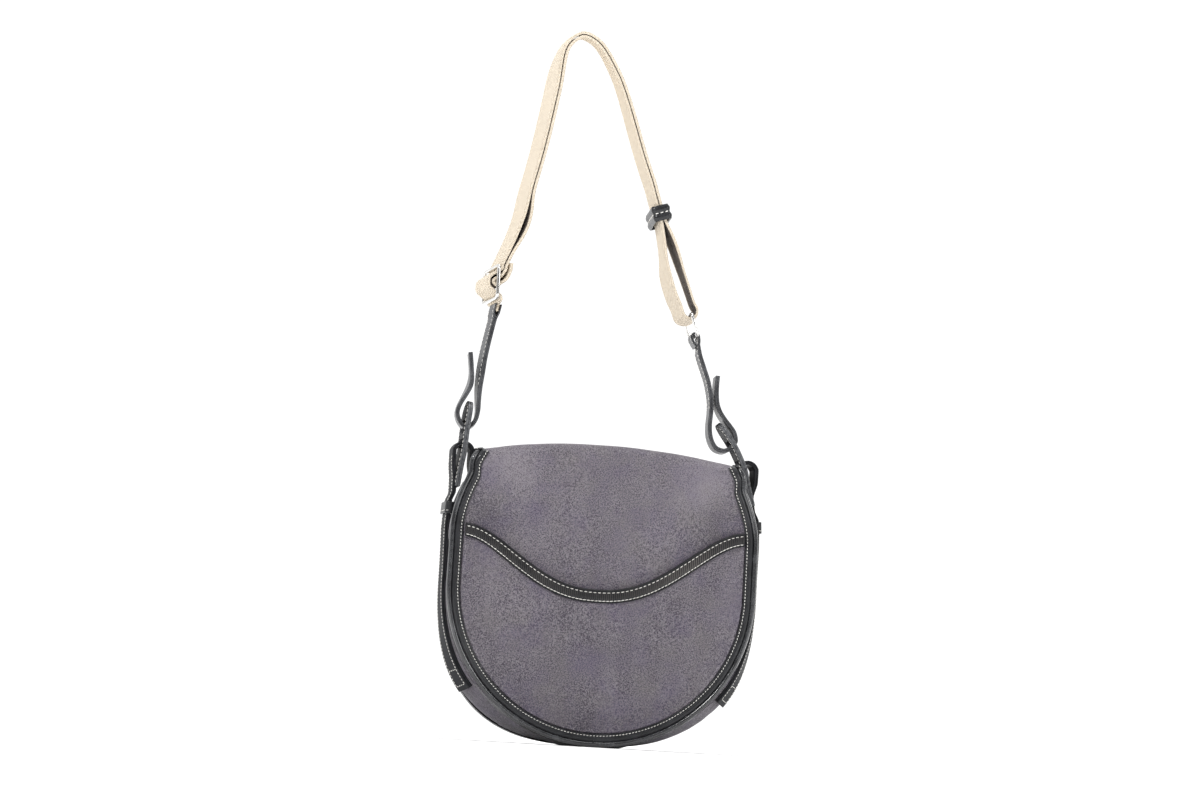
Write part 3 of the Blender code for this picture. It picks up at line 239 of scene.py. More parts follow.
class Bench:
    """Primitives, edit-mode operators and applied modifiers, as used by hand."""

    sharp = math.radians(48.0)
    edge_slope = 0.45

    @staticmethod
    def choose(piece: Piece) -> None:
        """Make one object the only selected and active one."""
        bpy.ops.object.select_all(action="DESELECT")
        piece.select_set(True)
        bpy.context.view_layer.objects.active = piece

    @staticmethod
    def grid(name: str, columns: int, rows: int, place: Placing,
             stretch: Pair = (1.0, 1.0)) -> Piece:
        """Add a grid and lay it over a surface.

        Args:
            name: the piece's name.
            columns: cells along the first share.
            rows: cells along the second share.
            place: gives the place for two shares from 0 to 1.
            stretch: the piece's length and width in metres, for its UV map.

        Returns:
            The laid piece.
        """
        bpy.ops.object.select_all(action="DESELECT")
        bpy.ops.mesh.primitive_grid_add(x_subdivisions=columns, y_subdivisions=rows, size=2.0)
        piece = bpy.context.object
        piece.name = piece.data.name = name
        mesh = piece.data
        count = len(mesh.vertices)
        spots = np.empty(count * 3)
        mesh.vertices.foreach_get("co", spots)
        shares = (spots.reshape(-1, 3)[:, :2] + 1.0) / 2.0
        laid = np.array([place(float(u), float(v))[:] for u, v in shares])
        mesh.vertices.foreach_set("co", laid.ravel())
        corners = np.empty(len(mesh.loops), dtype=np.int64)
        mesh.loops.foreach_get("vertex_index", corners)
        mapped = (shares * np.array(stretch))[corners]
        mesh.uv_layers.active.data.foreach_set("uv", mapped.ravel())
        mesh.update()
        return piece

    @staticmethod
    def modify(piece: Piece, kind: str, **settings: object) -> None:
        """Add a modifier with its settings and apply it."""
        Bench.choose(piece)
        change = piece.modifiers.new(kind.lower(), kind)
        for key, value in settings.items():
            setattr(change, key, value)
        bpy.ops.object.modifier_apply(modifier=change.name)

    @staticmethod
    def thicken(piece: Piece, thickness: float) -> None:
        """Give a laid surface its thickness, half to each side."""
        Bench.modify(piece, "SOLIDIFY", thickness=thickness, offset=0.0, use_even_offset=True)

    @staticmethod
    def ease_edges(piece: Piece, width: float, segments: int = 2) -> None:
        """Round every sharp edge."""
        Bench.modify(piece, "BEVEL", width=width, segments=segments, limit_method="ANGLE",
                     angle_limit=Bench.sharp, use_clamp_overlap=True)

    @staticmethod
    def seal(piece: Piece, distance: float = 1e-6, fill: bool = False) -> None:
        """Merge doubles, close open ends if asked, and turn the faces outwards in edit mode."""
        Bench.choose(piece)
        bpy.ops.object.mode_set(mode="EDIT")
        bpy.ops.mesh.select_all(action="SELECT")
        bpy.ops.mesh.remove_doubles(threshold=distance)
        if fill:
            bpy.ops.mesh.fill_holes(sides=0)
        bpy.ops.mesh.normals_make_consistent(inside=False)
        bpy.ops.object.mode_set(mode="OBJECT")

    @staticmethod
    def shade(piece: Piece, degrees: float = 45.0) -> None:
        """Smooth shading up to an angle."""
        Bench.choose(piece)
        bpy.ops.object.shade_smooth_by_angle(angle=math.radians(degrees))

    @staticmethod
    def sheet(name: str, cells: tuple[int, int], place: Placing, thickness: float,
              edge: float = 0.0, stretch: Pair = (1.0, 1.0), degrees: float = 45.0) -> Piece:
        """Lay a grid over a surface, thicken it and finish its edges.

        Args:
            name: the piece's name.
            cells: cells along both shares.
            place: gives the place on the middle surface for two shares from 0 to 1.
            thickness: the sheet's thickness.
            edge: how far its edges are eased; without it, its doubles are merged.
            stretch: the piece's length and width in metres, for its UV map.
            degrees: the angle up to which it is shaded smooth.

        Returns:
            The finished sheet.
        """
        piece = Bench.grid(name, *cells, place, stretch)
        Bench.thicken(piece, thickness)
        if edge:
            Bench.ease_edges(piece, edge)
        else:
            Bench.seal(piece)
        Bench.shade(piece, degrees)
        return piece

    @staticmethod
    def traced(name: str, runs: Sequence[tuple[Sequence, bool]], **settings: object) -> Piece:
        """Mesh of a curve of straight runs, each given with whether it closes on itself."""
        curve = bpy.data.curves.new(name, "CURVE")
        for key, value in settings.items():
            setattr(curve, key, value)
        for line, closed in runs:
            spline = curve.splines.new("POLY")
            spline.points.add(len(line) - 1)
            for point, spot in zip(spline.points, line):
                point.co = (*Vector(spot).to_3d(), 1.0)
            spline.use_cyclic_u = closed
        piece = bpy.data.objects.new(name, curve)
        bpy.context.collection.objects.link(piece)
        Bench.choose(piece)
        bpy.ops.object.convert(target="MESH")
        return piece

    @staticmethod
    def wire(name: str, runs: Sequence[tuple[Line, bool]], radius: float,
             fineness: int = 4) -> Piece:
        """Round bar along runs that are closed or open."""
        piece = Bench.traced(name, runs, dimensions="3D", bevel_depth=radius,
                             bevel_resolution=fineness, use_fill_caps=True)
        Bench.shade(piece, 50.0)
        return piece

    @staticmethod
    def plate(name: str, loops: Sequence[Sequence[Pair]], thickness: float, edge: float,
              cuts: Sequence[float]) -> Piece:
        """Flat plate with holes, eased edges and cuts across its length, ready to be bent."""
        piece = Bench.traced(name, [(loop, True) for loop in loops], dimensions="2D",
                             fill_mode="BOTH", extrude=thickness / 2 - edge, bevel_depth=edge,
                             bevel_resolution=2, offset=-edge)
        Bench.seal(piece, 1e-5)
        bpy.ops.object.mode_set(mode="EDIT")
        for cut in cuts:
            bpy.ops.mesh.select_all(action="SELECT")
            bpy.ops.mesh.bisect(plane_co=(cut, 0.0, 0.0), plane_no=(1.0, 0.0, 0.0))
        bpy.ops.object.mode_set(mode="OBJECT")
        return piece

    @staticmethod
    def plies(name: str, make: Callable[[str, int], Piece]) -> Piece:
        """Join an upper and an under ply, each made from its name and its side."""
        upper, under = make(name, 1), make(name + "_under", -1)
        Bench.choose(upper)
        under.select_set(True)
        bpy.ops.object.join()
        return upper

    @staticmethod
    def bend(piece: Piece, move: Callable[[Vector], Vector]) -> None:
        """Move every vertex of a piece."""
        for vertex in piece.data.vertices:
            vertex.co = move(vertex.co)
        piece.data.update()

    @staticmethod
    def mark_edges(piece: Piece) -> None:
        """Mark the faces that look along Y as painted edge."""
        for face in piece.data.polygons:
            face.material_index = int(abs(face.normal.y) > Bench.edge_slope)


# Finishes


class Nodes:
    """Wires the nodes of one material."""

    def __init__(self, name: str) -> None:
        self.material = bpy.data.materials.new(name)
        self.material.use_nodes = True
        self.tree = self.material.node_tree
        self.shader = self.tree.nodes["Principled BSDF"]
        self.place = self.tree.nodes.new("ShaderNodeTexCoord")

    def set(self, **values: object) -> None:
        """Set the shader's own sockets, named with underscores for spaces."""
        for key, value in values.items():
            self.shader.inputs[key.replace("_", " ")].default_value = value

    def add(self, kind: str, inputs: dict[str, object] | None = None,
            **settings: object) -> bpy.types.Node:
        """Add a node with settings and input values; a node socket given as a value is linked."""
        node = self.tree.nodes.new("ShaderNode" + kind)
        for key, value in settings.items():
            setattr(node, key, value)
        for key, value in (inputs or {}).items():
            socket = node.inputs[key]
            if isinstance(value, Socket):
                self.tree.links.new(value, socket)
            else:
                socket.default_value = value
        return node

    def noise(self, scale: float, detail: float = 4.0, rough: float = 0.55,
              vector: Socket | None = None) -> Socket:
        """Noise value, on Object coordinates if no others are given."""
        return self.add("TexNoise", {"Vector": vector or self.place.outputs["Object"],
                                     "Scale": scale, "Detail": detail,
                                     "Roughness": rough}).outputs["Fac"]

    def sum(self, first: object, second: object, operation: str = "ADD") -> Socket:
        """One step of arithmetic."""
        return self.add("Math", {0: first, 1: second}, operation=operation).outputs[0]

    def weigh(self, *parts: tuple[object, float]) -> Socket:
        """Sum of values, each times its weight."""
        products = [self.sum(value, weight, "MULTIPLY") for value, weight in parts]
        total = products[0]
        for product in products[1:]:
            total = self.sum(total, product)
        return total

    def away(self, spot: Triple, vector: Socket | None = None) -> Socket:
        """Distance from a spot, on Object coordinates if no others are given."""
        return self.add("VectorMath", {0: vector or self.place.outputs["Object"], 1: spot},
                        operation="DISTANCE").outputs["Value"]

    def part(self, vector: Socket, axis: str) -> Socket:
        """One coordinate of a vector."""
        return self.add("SeparateXYZ", {0: vector}).outputs[axis]

    def spread(self, value: Socket, low: float, high: float, to_low: float = 0.0,
               to_high: float = 1.0) -> Socket:
        """Stretch a range of values to another."""
        return self.add("MapRange", {"Value": value, "From Min": low, "From Max": high,
                                     "To Min": to_low, "To Max": to_high}).outputs["Result"]

    def blend(self, share: object, first: object, second: object) -> Socket:
        """Mix two colours."""
        node = self.add("Mix", data_type="RGBA")
        for socket, value in ((node.inputs[0], share), (node.inputs[6], first),
                              (node.inputs[7], second)):
            if isinstance(value, Socket):
                self.tree.links.new(value, socket)
            elif isinstance(value, tuple):
                socket.default_value = (*value, 1.0)
            else:
                socket.default_value = value
        return node.outputs[2]

    def colour(self, value: Socket) -> None:
        """Link the base colour."""
        self.tree.links.new(value, self.shader.inputs["Base Color"])

    def roughness(self, value: Socket) -> None:
        """Link the roughness."""
        self.tree.links.new(value, self.shader.inputs["Roughness"])

    def bump(self, height: Socket, distance: float, strength: float = 1.0) -> None:
        """Put relief of some height on the surface."""
        node = self.add("Bump", {"Height": height, "Distance": distance, "Strength": strength})
        self.tree.links.new(node.outputs["Normal"], self.shader.inputs["Normal"])


@dataclass(frozen=True)
class SuedeFinish:
    """Napped suede: greyish violet with cloudy tone, a fine speckle, a painted highlight and
    painted shade high on both sides, and painted shade towards the bottom.
    """

    dark: Triple = (0.068, 0.061, 0.076)
    light: Triple = (0.248, 0.227, 0.252)
    tones: Pair = (0.432, 0.572)
    violet: Triple = (0.125, 0.104, 0.168)
    warm: Triple = (0.190, 0.176, 0.168)
    # Painted highlight spot and the painted shade spot below it: place, reach and change of tone,
    # mirrored to both sides.
    painted_light_spot: tuple[Triple, float, float] = ((0.092, -0.040, 0.237), 0.042, 0.075)
    painted_shade_spot: tuple[Triple, float, float] = ((0.104, -0.040, 0.212), 0.036, -0.050)
    # Painted shade: the suede's tone drops towards the bottom of the bag.
    bottom_shade_from: float = 0.012
    bottom_shade_to: float = 0.050
    bottom_shade_by: float = -0.030
    brush: Triple = (60.0, 60.0, 14.0)
    grain_scale: float = 860.0
    speck_scale: float = 1300.0

    def make(self) -> bpy.types.Material:
        """Build the material."""
        nodes = Nodes("suede_nap")
        place = nodes.place.outputs["Object"]
        brushed = nodes.add("Mapping", {"Vector": place, "Scale": self.brush})
        grain = nodes.noise(self.grain_scale, 2.0, 0.6)
        speck = nodes.noise(self.speck_scale, 2.0, 0.6)
        tone = nodes.weigh((nodes.noise(11.0), 0.05), (nodes.noise(30.0), 0.05),
                           (nodes.noise(1.0, vector=brushed.outputs["Vector"]), 0.06),
                           (grain, 0.44), (speck, 0.40))
        both = nodes.add("VectorMath", {0: place}, operation="ABSOLUTE").outputs["Vector"]
        mirrored = nodes.add("VectorMath", {0: both, 1: (1.0, -1.0, 1.0)}, operation="MULTIPLY")
        # Painted light and shade: a lighter spot with a darker one just below it, high up on both
        # sides.
        for spot, reach, change in (self.painted_light_spot, self.painted_shade_spot):
            away = nodes.away(spot, mirrored.outputs["Vector"])
            tone = nodes.sum(tone, nodes.spread(away, reach, 0.0, 0.0, change))
        # Painted shade, darker towards the bottom.
        low = nodes.spread(nodes.part(place, "Z"), self.bottom_shade_from, self.bottom_shade_to, self.bottom_shade_by, 0.0)
        tone = nodes.spread(nodes.sum(tone, low), *self.tones)
        colour = nodes.blend(tone, self.dark, self.light)
        for tint, scale, start, full, most in ((self.violet, 27.0, 0.46, 0.68, 0.38),
                                               (self.warm, 38.0, 0.48, 0.72, 0.30)):
            share = nodes.spread(nodes.noise(scale, rough=0.6), start, full, 0.0, most)
            colour = nodes.blend(share, colour, tint)
        nodes.colour(colour)
        nodes.set(Roughness=0.95, Sheen_Weight=0.25, Sheen_Roughness=0.5, Specular_IOR_Level=0.1)
        nodes.bump(nodes.weigh((grain, 1.0), (speck, 0.6)), 0.0005, 0.9)
        return nodes.material


@dataclass(frozen=True)
class LeatherFinish:
    """Black leather with a fine grain and soft wear; its lighter copies are partly painted light,
    and the ribbed one has painted light and shade on its ribs and a painted highlight.
    """

    dark: Triple = (0.008, 0.0085, 0.0105)
    # Lighter tone of worn places; in the bead and strap-end copies it also stands for painted
    # light.
    worn_and_lit: Triple = (0.020, 0.021, 0.025)
    # Colour of the rib ridges: painted light on the ridges, with painted shade in the grooves.
    ribs: Triple = (0.105, 0.097, 0.092)
    # Painted highlight spot on the ribbed trim, and how far it reaches.
    painted_highlight_spot: Triple = (0.072, -0.047, 0.160)
    painted_highlight_reach: float = 0.045
    roughness: float = 0.40
    specular: float = 0.38
    coat: float = 0.30
    ribbed: bool = False
    name: str = "black_leather"

    def make(self) -> bpy.types.Material:
        """Build the material."""
        nodes = Nodes(self.name)
        cells = nodes.add("TexVoronoi", {"Vector": nodes.place.outputs["Object"], "Scale": 820.0,
                                         "Randomness": 0.9}).outputs["Distance"]
        wear = nodes.noise(70.0, 5.0, 0.6)
        nodes.colour(nodes.blend(nodes.spread(wear, 0.42, 0.70), self.dark, self.worn_and_lit))
        nodes.roughness(nodes.spread(wear, 0.3, 0.7, self.roughness - 0.06, self.roughness + 0.10))
        nodes.set(Specular_IOR_Level=self.specular, Coat_Weight=self.coat, Coat_Roughness=0.12)
        height = nodes.weigh((cells, 0.7), (nodes.noise(1500.0, 3.0, 0.6), 0.5))
        if self.ribbed:
            mapped = nodes.place.outputs["UV"]
            ribs = nodes.add("TexWave", {"Vector": mapped, "Scale": 150.0, "Distortion": 1.0,
                                         "Detail": 1.0}, bands_direction="X").outputs["Fac"]
            across = nodes.part(mapped, "Y")
            inner = nodes.sum(nodes.spread(across, 0.0024, 0.0032),
                              nodes.spread(across, 0.0082, 0.0074), "MULTIPLY")
            ridge = nodes.sum(ribs, inner, "MULTIPLY")
            height = nodes.weigh((height, 1.0), (ridge, 8.0))
            # Painted highlight near one spot; the ridges are painted lighter than the grooves as
            # painted light and shade.
            painted_highlight = nodes.spread(nodes.away(self.painted_highlight_spot), self.painted_highlight_reach, 0.0, 0.45, 1.6)
            tone = nodes.sum(nodes.spread(wear, 0.35, 0.65, 0.0, 0.20),
                             nodes.sum(ridge, painted_highlight, "MULTIPLY"))
            nodes.colour(nodes.blend(nodes.spread(tone, 0.1, 1.3), self.dark, self.ribs))
        nodes.bump(height, 0.00022, 0.55)
        return nodes.material


@dataclass(frozen=True)
class WebbingFinish:
    """Cream cotton twill: slanting ribs crossed by fine yarns, on the webbing's own map, with its
    back face darkened as painted shade.
    """

    light: Triple = (0.735, 0.655, 0.540)
    shade: Triple = (0.62, 0.51, 0.37)
    # Colour of the webbing's back face: painted shade between its layers and on the strands' inner
    # faces.
    lining: Triple = (0.155, 0.122, 0.098)
    width: float = 0.038
    rib: float = 0.0019
    slant: float = math.radians(38.0)

    def make(self) -> bpy.types.Material:
        """Build the material."""
        nodes = Nodes("cotton_twill")
        mapped, per_metre = nodes.place.outputs["UV"], 0.5 / self.rib
        slanted = nodes.add("Mapping", {"Vector": mapped, "Rotation": (0.0, 0.0, self.slant),
                                        "Scale": (per_metre, per_metre, 1.0)})
        twill = nodes.add("TexWave", {"Vector": slanted.outputs["Vector"], "Scale": 0.32,
                                      "Distortion": 0.35, "Detail": 1.0, "Detail Scale": 3.0},
                          bands_direction="X")
        cross = nodes.add("TexWave", {"Vector": mapped, "Scale": 330.0, "Distortion": 0.3},
                          bands_direction="X")
        yarn = nodes.weigh((twill.outputs["Fac"], 1.0), (cross.outputs["Fac"], 0.45))
        tone = nodes.weigh((nodes.spread(yarn, 0.15, 1.2), 1.0), (nodes.noise(45.0), 0.15))
        cream = nodes.blend(nodes.spread(tone, 0.0, 0.75), self.shade, self.light)
        # The back face is painted dark as painted shade.
        across = nodes.part(mapped, "Y")
        back = nodes.sum(nodes.spread(across, 1.49 * self.width, 1.51 * self.width),
                         nodes.spread(across, 2.51 * self.width, 2.49 * self.width), "MULTIPLY")
        nodes.colour(nodes.blend(back, cream, self.lining))
        nodes.set(Roughness=0.92, Sheen_Weight=0.10, Specular_IOR_Level=0.12)
        nodes.bump(nodes.weigh((yarn, 1.0), (nodes.noise(1800.0, 3.0), 0.2)), 0.0003, 0.8)
        return nodes.material


@dataclass(frozen=True)
class PlainFinish:
    """A plain finish with slight variation: thread, edge paint and its copy in painted shade,
    nickel, cloth and board.
    """

    name: str
    first: Triple
    second: Triple
    roughness: float
    metallic: float = 0.0
    scale: float = 300.0
    relief: float = 0.0001
    specular: float = 0.4

    def make(self) -> bpy.types.Material:
        """Build the material."""
        nodes = Nodes(self.name)
        mottle = nodes.noise(self.scale)
        nodes.colour(nodes.blend(nodes.spread(mottle, 0.35, 0.65), self.first, self.second))
        nodes.roughness(nodes.spread(mottle, 0.3, 0.7, self.roughness - 0.04,
                                     self.roughness + 0.05))
        nodes.set(Metallic=self.metallic, Specular_IOR_Level=self.specular)
        if self.relief:
            nodes.bump(mottle, self.relief, 0.6)
        return nodes.material


class Finishes:
    """All the materials of the bag, made once."""

    def __init__(self) -> None:
        self.suede = SuedeFinish().make()
        self.leather = LeatherFinish().make()
        # Bead leather: its lighter tone is partly painted highlight along the bead.
        self.bead = LeatherFinish(dark=(0.010, 0.0105, 0.013), worn_and_lit=(0.050, 0.052, 0.058),
                                  roughness=0.22, specular=0.6, coat=1.0,
                                  name="bead_leather").make()
        # Strap-end leather is a lighter copy of the black leather: painted light on the strap
        # ends' faces.
        self.strap_end = LeatherFinish(dark=(0.034, 0.035, 0.039), worn_and_lit=(0.085, 0.087, 0.094),
                                       roughness=0.46, name="strap_end_leather").make()
        # Darker copy of the edge paint: painted shade on the strap ends' edges.
        self.dark_edge = PlainFinish("dark_edge_paint", (0.020, 0.021, 0.024),
                                     (0.045, 0.046, 0.051), 0.40).make()
        self.strap = LeatherFinish(roughness=0.58, specular=0.22, coat=0.05,
                                   name="strap_leather").make()
        self.ribbed = LeatherFinish(ribbed=True, specular=0.25, coat=0.08,
                                    name="ribbed_leather").make()
        self.edge = PlainFinish("edge_paint", (0.060, 0.062, 0.068), (0.135, 0.138, 0.145),
                                0.30).make()
        self.thread = PlainFinish("waxed_thread", (0.78, 0.76, 0.71), (0.90, 0.88, 0.84), 0.75,
                                  scale=900.0).make()
        self.webbing = WebbingFinish().make()
        self.nickel = PlainFinish("nickel_plate", (0.66, 0.65, 0.63), (0.76, 0.75, 0.73), 0.16,
                                  metallic=1.0, scale=160.0, relief=0.00002).make()
        self.cloth = PlainFinish("lining_weave", (0.060, 0.060, 0.066), (0.085, 0.085, 0.092),
                                 0.85, scale=1200.0).make()
        self.board = PlainFinish("fibreboard", (0.17, 0.13, 0.09), (0.24, 0.19, 0.14), 0.9,
                                 scale=400.0).make()


@dataclass
class Workshop:
    """What every sub-assembly needs: the finishes, and how a finished piece is put in place."""

    finishes: Finishes
    settle: Callable[[Vector], Vector]
    made: list[str] = field(default_factory=list)
    fold_start: Triple = (0.0, -0.004, 0.2698)
    fold_end: Triple = (0.0, 0.018, 0.2698)

    @staticmethod
    def declare(piece: Piece, cut: Triple, held: str) -> None:
        """Log the width, length and area that a sheet was cut to."""
        width, length, area = cut
        LOG.info("%s: cut %.4f x %.4f m, %.5f m2", piece.name, width, length, area)

    def place(self, piece: Piece, material: bpy.types.Material, *replaces: str,
              body: Body | None = Body.BAG, slot: Slot = Slot.LEATHER,
              edge: bpy.types.Material | None = None) -> Piece:
        """Give a piece its finish, its body and the solids that it stands for.

        Args:
            piece: the finished mesh object.
            material: its material.
            *replaces: the solids' names.
            body: the body that it rides on, or None for a piece that is baked in place on no body.
            slot: the record's material slot; not used.
            edge: the material of the faces that are marked as painted edge.

        Returns:
            The same piece.
        """
        marks = np.zeros(len(piece.data.polygons), dtype=np.int32)
        piece.data.polygons.foreach_get("material_index", marks)
        piece.data.materials.clear()
        piece.data.materials.append(material)
        if edge:
            piece.data.materials.append(edge)
            piece.data.polygons.foreach_set("material_index", np.minimum(marks, 1))
        if body in (None, Body.BAG, Body.FLAP):
            Bench.bend(piece, self.settle)
        if body is None:
            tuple(self.fold_start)
            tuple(self.fold_end)
            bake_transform(piece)
        else:
            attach(piece, body.value)
        if replaces:
            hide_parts(*replaces)
        self.made.append(piece.name)
        LOG.info("%s: %d faces", piece.name, len(piece.data.polygons))
        return piece


# Stitches


@dataclass
class StitchRow:
    """One row of thread: where it runs, which way the surface faces, and its stitch."""

    line: Line
    normals: Line
    pitch: float = 0.0052
    length: float = 0.0036
    radius: float = 0.00042
    slant: float = 0.05


def tack(middle: Vector, reach: Vector, out: Vector, **stitch: float) -> StitchRow:
    """Straight row of thread as far as a reach to both sides of a middle."""
    return StitchRow([middle - reach, middle + reach], [out, out], **stitch)


FINE_STITCH = {"pitch": 0.0029, "length": 0.0019, "radius": 0.00036, "slant": 0.12}
STRAP_STITCH = {"pitch": 0.0040, "length": 0.0029, "radius": 0.00036}
SIDE_STITCH = {"pitch": 0.0030, "length": 0.0021, "radius": 0.0004}
KEEPER_STITCH = {"pitch": 0.0036, "length": 0.0030, "radius": 0.00052}


class Stitcher:
    """Models one stitch and copies it along rows."""

    flat_share = 0.8
    sunk_share = 0.25
    wander = 0.03
    wander_turn = 2.399

    def __init__(self) -> None:
        bpy.ops.object.select_all(action="DESELECT")
        bpy.ops.mesh.primitive_uv_sphere_add(segments=7, ring_count=6, radius=1.0)
        stitch = bpy.context.object
        bpy.ops.object.mode_set(mode="EDIT")
        bpy.ops.mesh.select_all(action="SELECT")
        bpy.ops.transform.resize(value=(1.0, 1.0, 0.5))
        bpy.ops.object.mode_set(mode="OBJECT")
        mesh = stitch.data
        self.spots = np.array([v.co[:] for v in mesh.vertices])
        self.spots[:, 2] *= 2.0
        self.faces = [tuple(p.vertices) for p in mesh.polygons]
        bpy.data.objects.remove(stitch, do_unlink=True)

    def sew(self, name: str, rows: Sequence[StitchRow]) -> Piece:
        """Copy the stitch along every row into one mesh.

        Args:
            name: the piece's name.
            rows: the rows of thread.

        Returns:
            The stitches as one object.
        """
        spots: list[np.ndarray] = []
        faces: list[tuple[int, ...]] = []
        for row in rows:
            reach = reach_along(row.line)
            count = max(int(reach[-1] / row.pitch), 1)
            for index in range(count):
                middle = (index + 0.5) * reach[-1] / count
                start = self.find(row, reach, middle - row.length / 2)
                end = self.find(row, reach, middle + row.length / 2)
                along = (end[0] - start[0]).normalized()
                out = (start[1] + end[1]).normalized()
                turn = row.slant + self.wander * math.sin(index * self.wander_turn)
                along = (along + out.cross(along).normalized() * turn).normalized()
                across = out.cross(along).normalized()
                out = along.cross(across)
                centre = (start[0] + end[0]) / 2 + out * (row.radius * self.sunk_share)
                frame = np.array([across * row.radius, out * row.radius * self.flat_share,
                                  along * row.length / 2])
                offset = len(spots) * len(self.spots)
                spots.append(self.spots @ frame + np.array(centre[:]))
                faces += [tuple(offset + corner for corner in face) for face in self.faces]
        mesh = bpy.data.meshes.new(name)
        mesh.from_pydata(np.concatenate(spots).tolist(), [], faces)
        mesh.update()
        piece = bpy.data.objects.new(name, mesh)
        bpy.context.collection.objects.link(piece)
        Bench.seal(piece, FINE_MERGE)
        Bench.shade(piece, 80.0)
        return piece

    @staticmethod
    def find(row: StitchRow, reach: Sequence[float], target: float) -> tuple[Vector, Vector]:
        """Place and surface direction at a distance along a row."""
        index, share = find_along(reach, target)
        return (row.line[index].lerp(row.line[index + 1], share),
                row.normals[index].lerp(row.normals[index + 1], share))


# The bag's body


@dataclass
class Rim:
    """The horseshoe outline that the panels, the gusset and the edging follow."""

    radius: float = 0.1385
    shoulder_start: float = 0.186
    shoulder_pull: float = 0.028
    neck_half: float = 0.1138
    neck_height: float = 0.2583
    neck_reach: float = 0.008
    neck_drop: float = 0.015
    roof_crown: float = 0.0112
    gusset_end: float = 0.60
    half_depth: float = 0.039
    bead_radius: float = 0.0024
    gap: float = 0.0003
    lift: float = 0.0004
    settle_by: float = 0.012
    settle_depth: float = 0.045
    settle_blend: float = math.radians(12.0)

    def __post_init__(self) -> None:
        self.sheet_edge = 2.0 * self.bead_radius + self.gap
        self.roof_height = self.neck_height + self.roof_crown
        self.half = self.draw_half()

    def draw_half(self) -> list[Station]:
        """Right half of the outline from the bottom to the neck, finely drawn."""
        centre, start = Vector((0.0, self.radius)), Vector((self.radius, self.shoulder_start))
        neck = Vector((self.neck_half, self.neck_height))
        points = [centre + self.radius * toward(math.pi / 2 * (step / 90 - 1.0))
                  for step in range(91)]
        points += [points[90].lerp(start, step / 20) for step in range(1, 20)]
        frees = [0.0] * len(points) + [step / 60 for step in range(61)]
        pulls = (start + Vector((0.0, self.shoulder_pull)),
                 neck + Vector((self.neck_reach, -self.neck_drop)))
        points += [bezier(start, *pulls, neck, step / 60) for step in range(61)]
        return [Station(p, -n, f) for p, n, f in zip(points, left_normals(points), frees)]

    def stations(self, count: int, top: float = 1.0) -> list[Station]:
        """Even stations from the left end to the right end.

        Args:
            count: how many stretches.
            top: the share of the free shoulder at which both ends stop.

        Returns:
            The stations, one more than the stretches.
        """
        right = [s for s in self.half if s.free <= top]
        left = [Station(Vector((-s.place.x, s.place.y)), Vector((-s.outward.x, s.outward.y)),
                        s.free) for s in reversed(right[1:])]
        line = left + right
        reach = reach_along([station.place for station in line])
        out = []
        for step in range(count + 1):
            index, share = find_along(reach, reach[-1] * step / count)
            a, b = line[index], line[index + 1]
            out.append(Station(a.place.lerp(b.place, share),
                               a.outward.lerp(b.outward, share).normalized(),
                               a.free + (b.free - a.free) * share))
        return out

    def low_rows(self, count: int) -> list[Pair]:
        """Rows of a panel as (height, half width), from the bottom to its widest place."""
        inner = self.radius - self.sheet_edge
        turns = [math.pi / 2 * step / count for step in range(1, count)]
        return [(self.radius - inner * math.cos(turn), inner * math.sin(turn)) for turn in turns]

    def free_shift(self, free: float) -> float:
        """How far the back binding moves out to the edge past the end of the gusset."""
        return self.sheet_edge * ease((free - self.gusset_end) / (1.0 - self.gusset_end) * 2)

    def roof_drop(self, x: float) -> float:
        """How far the roof lies below its crown."""
        return self.roof_crown * (x / self.neck_half) ** 2

    def settle(self, point: Vector) -> Vector:
        """Fill out the lower corners of the body, most of all behind the back's rim."""
        down = self.radius - point.z
        if down <= 0.0:
            return point
        turn = abs(math.atan2(point.x, down))
        depth = ease((point.y + self.half_depth) / self.settle_depth)
        depth *= ease(turn / self.settle_blend)
        swell = 1.0 + self.settle_by / self.radius * depth * math.sin(2.0 * turn) ** 2
        return Vector((point.x * swell, point.y, self.radius - down * swell))

    def inner_x(self, height: float, offset: float, shifted: bool = False,
                by_run: bool = False) -> float:
        """Half width inside the outline at a height.

        Args:
            height: height on the panel, or the run along the sheet.
            offset: distance inside the outline.
            shifted: whether the edge moves out past the gusset's end.
            by_run: whether the height counts the roof's drop.

        Returns:
            The half width.
        """
        last = 0.0
        below = -1.0
        for place, outward, free in self.half:
            shift = self.free_shift(free) if shifted else 0.0
            spot = place + outward * (shift - offset)
            level = spot.y + (self.roof_drop(spot.x) if by_run else 0.0)
            if level >= height:
                share = (height - below) / (level - below) if level > below else 0.0
                return last + (spot.x - last) * min(max(share, 0.0), 1.0)
            last, below = spot.x, level
        return last


def row_cut(rows: Sequence[Pair]) -> Triple:
    """Width, length and area of a sheet that is given as rows of (run, half width)."""
    area = sum((after[0] - before[0]) * (after[1] + before[1])
               for before, after in zip(rows, rows[1:]))
    return 2.0 * max(half for _run, half in rows), rows[-1][0] - rows[0][0], area


